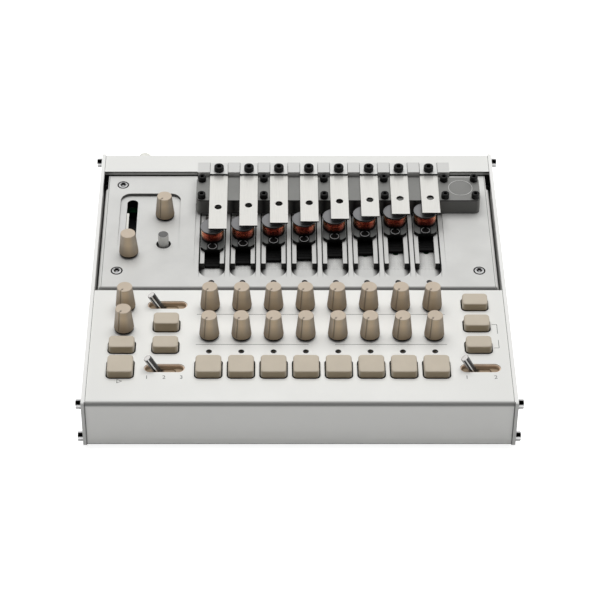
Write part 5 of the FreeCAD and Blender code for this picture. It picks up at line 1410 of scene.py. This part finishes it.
def shutter_shape():
    """The plate that swings under a slot with its lever and keeps the slot closed.

    At an angle a from the lever it lies at r = h / cos(max(|a| - lean, 0)) from the pin, so that its far
    wing is level, at a height h, whenever the lever stands at one end of the slot. It comes with a mask of
    painted shadow, which is 1 next to the lever.
    """
    angle = np.radians(np.linspace(-72.0, 72.0, 49))
    radius = 5.7 / np.cos(np.maximum(np.abs(angle) - math.radians(LEAN), 0.0))
    edge = np.array(((0.0, -2.35), (0.0, 2.35), (-0.35, 2.35), (-0.35, -2.35)))
    reach = radius[:, None] + edge[:, 0]
    across = np.broadcast_to(edge[:, 1], reach.shape)
    points = np.stack((reach * np.sin(angle)[:, None], across, reach * np.cos(angle)[:, None]), -1)
    ends = np.repeat(points[[0, -1]].mean(1, keepdims=True), 4, axis=1)
    closed = np.concatenate((ends[:1], points, ends[1:]), 0)
    shadow = np.clip((np.radians(30.0) - np.abs(angle)) / np.radians(16.0), 0.0, 1.0)
    return turned(from_grid(closed), "Y", -LEAN), np.repeat((0.0, *shadow, 0.0), 4)


def liner_shape():
    """The liner of a slot: stadium outlines out along the brim, up the wall, down inside and to the slit."""
    base, normal = outline_box(10.6, 3.15, 3.15, 12)
    slit, _ = outline_box(5.9, 2.2, 2.2, 12)
    outer = [(4.15, -3.2), (4.15, -2.02), (3.15, -2.02), (3.15, -0.42), (3.03, -0.3)]
    inner = [(2.77, -0.3), (2.65, -0.42), (2.6, -2.3), (2.4, -2.6)]
    rows = [(base, *row) for row in outer + inner]
    rows += [(slit, 2.2, -2.6), (slit, 2.2, -3.2), (base, *outer[0])]
    grid = [np.column_stack((centre + reach * normal, np.full(len(normal), z))) for centre, reach, z in rows]
    return from_grid(np.array(grid))


class SYNTH_OT_toggles(Piece):
    """Make the toggle levers, the liners of their slots and the light pipe"""

    bl_idname = "synth.toggles"
    bl_label = "Toggles"

    def execute(self, context):
        pivots = {joint["child"]: (np.array(joint["pos_m"]) - ORIGIN) / MM for joint in frame["joints"]}
        toggles = ("rear_toggle", "front_toggle", "right_toggle")
        plate, shadow = shutter_shape()
        for node in toggles:
            lever = cast(f"{node}_lever", moved(lever_shape(), *pivots[node]), "chrome", node)
            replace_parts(lever, node)
            cast(f"{node}_shutter", moved(plate, *pivots[node]), "liner", node, mark=shadow)
        liners = [moved(liner_shape(), *pivots[node][:2]) for node in toggles]
        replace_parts(cast("slot_liners", combine(*liners), "liner"), "trim_inserts")
        place = middle("deck_knob")[0], LIGHT_PIPE_Y
        pipe = bezier_corners([(0.0, -18.4), (2.9, -18.4), (2.9, 3.7), (0.0, 3.7)], (0.3, 0.5))
        cast("light_pipe", moved(lathe(pipe), *place), "clear")
        # A black ring fills the hole round the light pipe.
        collar = [(3.25, -3.6), (3.9, -3.6), (4.05, -3.8), (4.05, -9.5)]
        hole_ring = lathe([(3.0, -9.5), (3.0, -3.9), *collar, (3.0, -9.5)])
        cast("pipe_hole_ring", moved(hole_ring, *place), "black")
        return {"FINISHED"}


class SYNTH_OT_lamps(Piece):
    """Set a dark domed lens on each lamp of the panel and the deck"""

    bl_idname = "synth.lamps"
    bl_label = "Lamps"

    def execute(self, context):
        dome = lathe(bezier_corners([(1.52, -0.9), (1.52, -0.35), (0.0, -0.1)], 0.3, 4), 32)
        rows = ((39.9, 0.0), (99.5, DECK_TOP))
        lenses = [moved(dome, x, y, level) for y, level in rows for x in CHANNELS]
        cast("lamp_lenses", combine(*lenses), "lens")
        return {"FINISHED"}


def carriage_body(half, waist, lock):
    """A carriage's plastic: bracket, foot, tongue with ribs, flange of the bobbin and the screw's collar."""
    shoulder = 9.0 + half - waist
    front = [(-waist, -shoulder), (waist, -shoulder), (half, -9.0)]
    rear = [(half, half), (-half, half), (-half, -9.0)]
    outline = outline_polygon(front + rear, (0.5, 0.5, 0.5, 1.2, 1.2, 0.5))
    plate = stack_outline(*outline, soft_rows(0.0, -4.9, -2.6, 0.25))
    foot = moved(block(waist, 7.7, -8.9, -4.8, 0.3, 0.2), y=-1.3)
    tongue = moved(block(waist, 5.85, -8.9, -7.5, 0.8, 0.25, 4), y=-13.85)
    flange = lathe(bezier_corners([(0.0, -2.6), (6.4, -2.6), (6.4, -1.6), (0.0, -1.6)], 0.25, 4))
    ring = bezier_corners([(2.4, -2.7), (2.4, -2.5), (2.75, -2.5), (2.95, -2.7)], 0.08, 3)
    rib = block(waist - 0.7, 0.25, -7.6, -7.3, 0.2, 0.08)
    ribs = [moved(rib, y=y) for y in (-12.8, -15.2, -17.6)]
    return combine(plate, foot, tongue, flange, moved(lathe(ring, 40), y=-lock), *ribs)


def winding_shape(outside, wire):
    """A winding of n turns of wire d: r = R - d/2 + |sin(pi n t)| d/2, with a slow ripple round it."""
    turns = int(WINDING_TALL / wire)
    t = np.linspace(0.0, 1.0, turns * 6 + 1)
    radius = outside - wire / 2 + np.abs(np.sin(math.pi * turns * t)) * wire / 2
    rows = np.column_stack((radius, WINDING_FOOT + WINDING_TALL * t))
    angle = full_turn(96)
    ripple = 1 + 0.004 * np.sin(9 * angle) + 0.003 * np.cos(23 * angle)
    return lathe(np.vstack(([(2.5, rows[0, 1])], rows, [(2.5, rows[-1, 1])])), 96, ripple)


def disc_shape(radius, edge):
    """A coil's top disc, with a shallow step inside its edge."""
    low = WINDING_FOOT + WINDING_TALL
    high = low + 1.0
    edges = [(0.0, low), (radius, low), (radius, high), (radius - 0.55, high)]
    step = [(radius - 0.62, high - 0.07), (0.0, high - 0.07)]
    return lathe(bezier_corners(edges + step, (edge, edge, 0.05, 0.05), 4), 80)


def lock_shape(lock):
    """A carriage's lock screw with its nut and a thin ring, and the marks of the ring, which give it a share
    of the pale steel colour.
    """
    screw, _ = revolve_screw(screw_rows(1.25, 6.4, 2.25, 2.6, 1.17, 0.3))
    nut = block(3.5, 3.5, -12.1, -10.1, 0.3, 0.2)
    ring = lathe([(2.2, -2.64), (2.2, -2.46), (2.5, -2.46), (2.5, -2.64), (2.2, -2.64)], 40)
    dark = combine(moved(screw, z=-5.7), nut)
    return moved(combine(dark, ring), y=-lock), np.repeat((0.0, 0.6), (len(dark[0]), len(ring[0])))


class SYNTH_OT_coils(Piece):
    """Make the eight coils on their sliding carriages"""

    bl_idname = "synth.coils"
    bl_label = "Coils"

    def execute(self, context):
        sizes = context.scene.synth_coils
        lock, mark = lock_shape(sizes.lock / MM)
        body = carriage_body(sizes.bracket / MM, sizes.waist / MM, sizes.lock / MM)
        winding = winding_shape(sizes.winding / MM, sizes.wire / MM)
        disc = disc_shape(sizes.disc / MM, sizes.disc_edge / MM)
        for x, node in zip(CHANNELS, has("coil_carriage")):
            y = box(node)[1][1] - sizes.disc / MM
            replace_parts(cast(f"{node}_body", moved(body, x, y), "carriage", node), node)
            cast(f"{node}_winding", moved(winding, x, y), "copper", node, sharp=60.0)
            cast(f"{node}_disc", moved(disc, x, y), "disc", node)
            cast(f"{node}_lock", moved(lock, x, y), "screw", node, mark=mark)
        return {"FINISHED"}


class SYNTH_OT_inside(Piece):
    """Finish the circuit boards and the sockets of the rear wall"""

    bl_idname = "synth.inside"
    bl_label = "Boards and sockets"

    def execute(self, context):
        dress(circuit_boards="board", rear_sockets="socket")
        return {"FINISHED"}


STEPS = (
    SYNTH_OT_stage,
    SYNTH_OT_shell,
    SYNTH_OT_markings,
    SYNTH_OT_deck,
    SYNTH_OT_bridge,
    SYNTH_OT_reeds,
    SYNTH_OT_screws,
    SYNTH_OT_coils,
    SYNTH_OT_knobs,
    SYNTH_OT_fader,
    SYNTH_OT_buttons,
    SYNTH_OT_toggles,
    SYNTH_OT_lamps,
    SYNTH_OT_inside,
)


class SYNTH_PT_pieces(bpy.types.Panel):
    """The sizes, the colours and the steps"""

    bl_idname = "SYNTH_PT_pieces"
    bl_label = "Reed synthesizer"
    bl_space_type = "VIEW_3D"
    bl_region_type = "UI"
    bl_category = "Synthesizer"

    def draw(self, context):
        layout = self.layout
        for holder in GROUPS:
            group = getattr(context.scene, holder)
            box = layout.box()
            for key in group.__annotations__:
                box.prop(group, key)
        for step in STEPS:
            layout.operator(step.bl_idname)


GROUPS = {
    "synth_colours": SynthColours,
    "synth_knobs": KnobSizes,
    "synth_buttons": ButtonSizes,
    "synth_coils": CoilSizes,
    "synth_stage": StageSettings,
}


def register():
    """Register the classes and hang the property groups on the scene."""
    for name, group in GROUPS.items():
        bpy.utils.register_class(group)
        setattr(bpy.types.Scene, name, bpy.props.PointerProperty(type=group))
    for step in STEPS:
        bpy.utils.register_class(step)
    bpy.utils.register_class(SYNTH_PT_pieces)


def unregister():
    """Undo register."""
    bpy.utils.unregister_class(SYNTH_PT_pieces)
    for step in reversed(STEPS):
        bpy.utils.unregister_class(step)
    for name, group in reversed(GROUPS.items()):
        delattr(bpy.types.Scene, name)
        bpy.utils.unregister_class(group)


def main():
    """Build every piece in order."""
    register()
    mix_finishes(bpy.context.scene.synth_colours)
    for step in STEPS:
        group, name = step.bl_idname.split(".")
        getattr(getattr(bpy.ops, group), name)()
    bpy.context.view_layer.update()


if __name__ == "__main__":
    main()
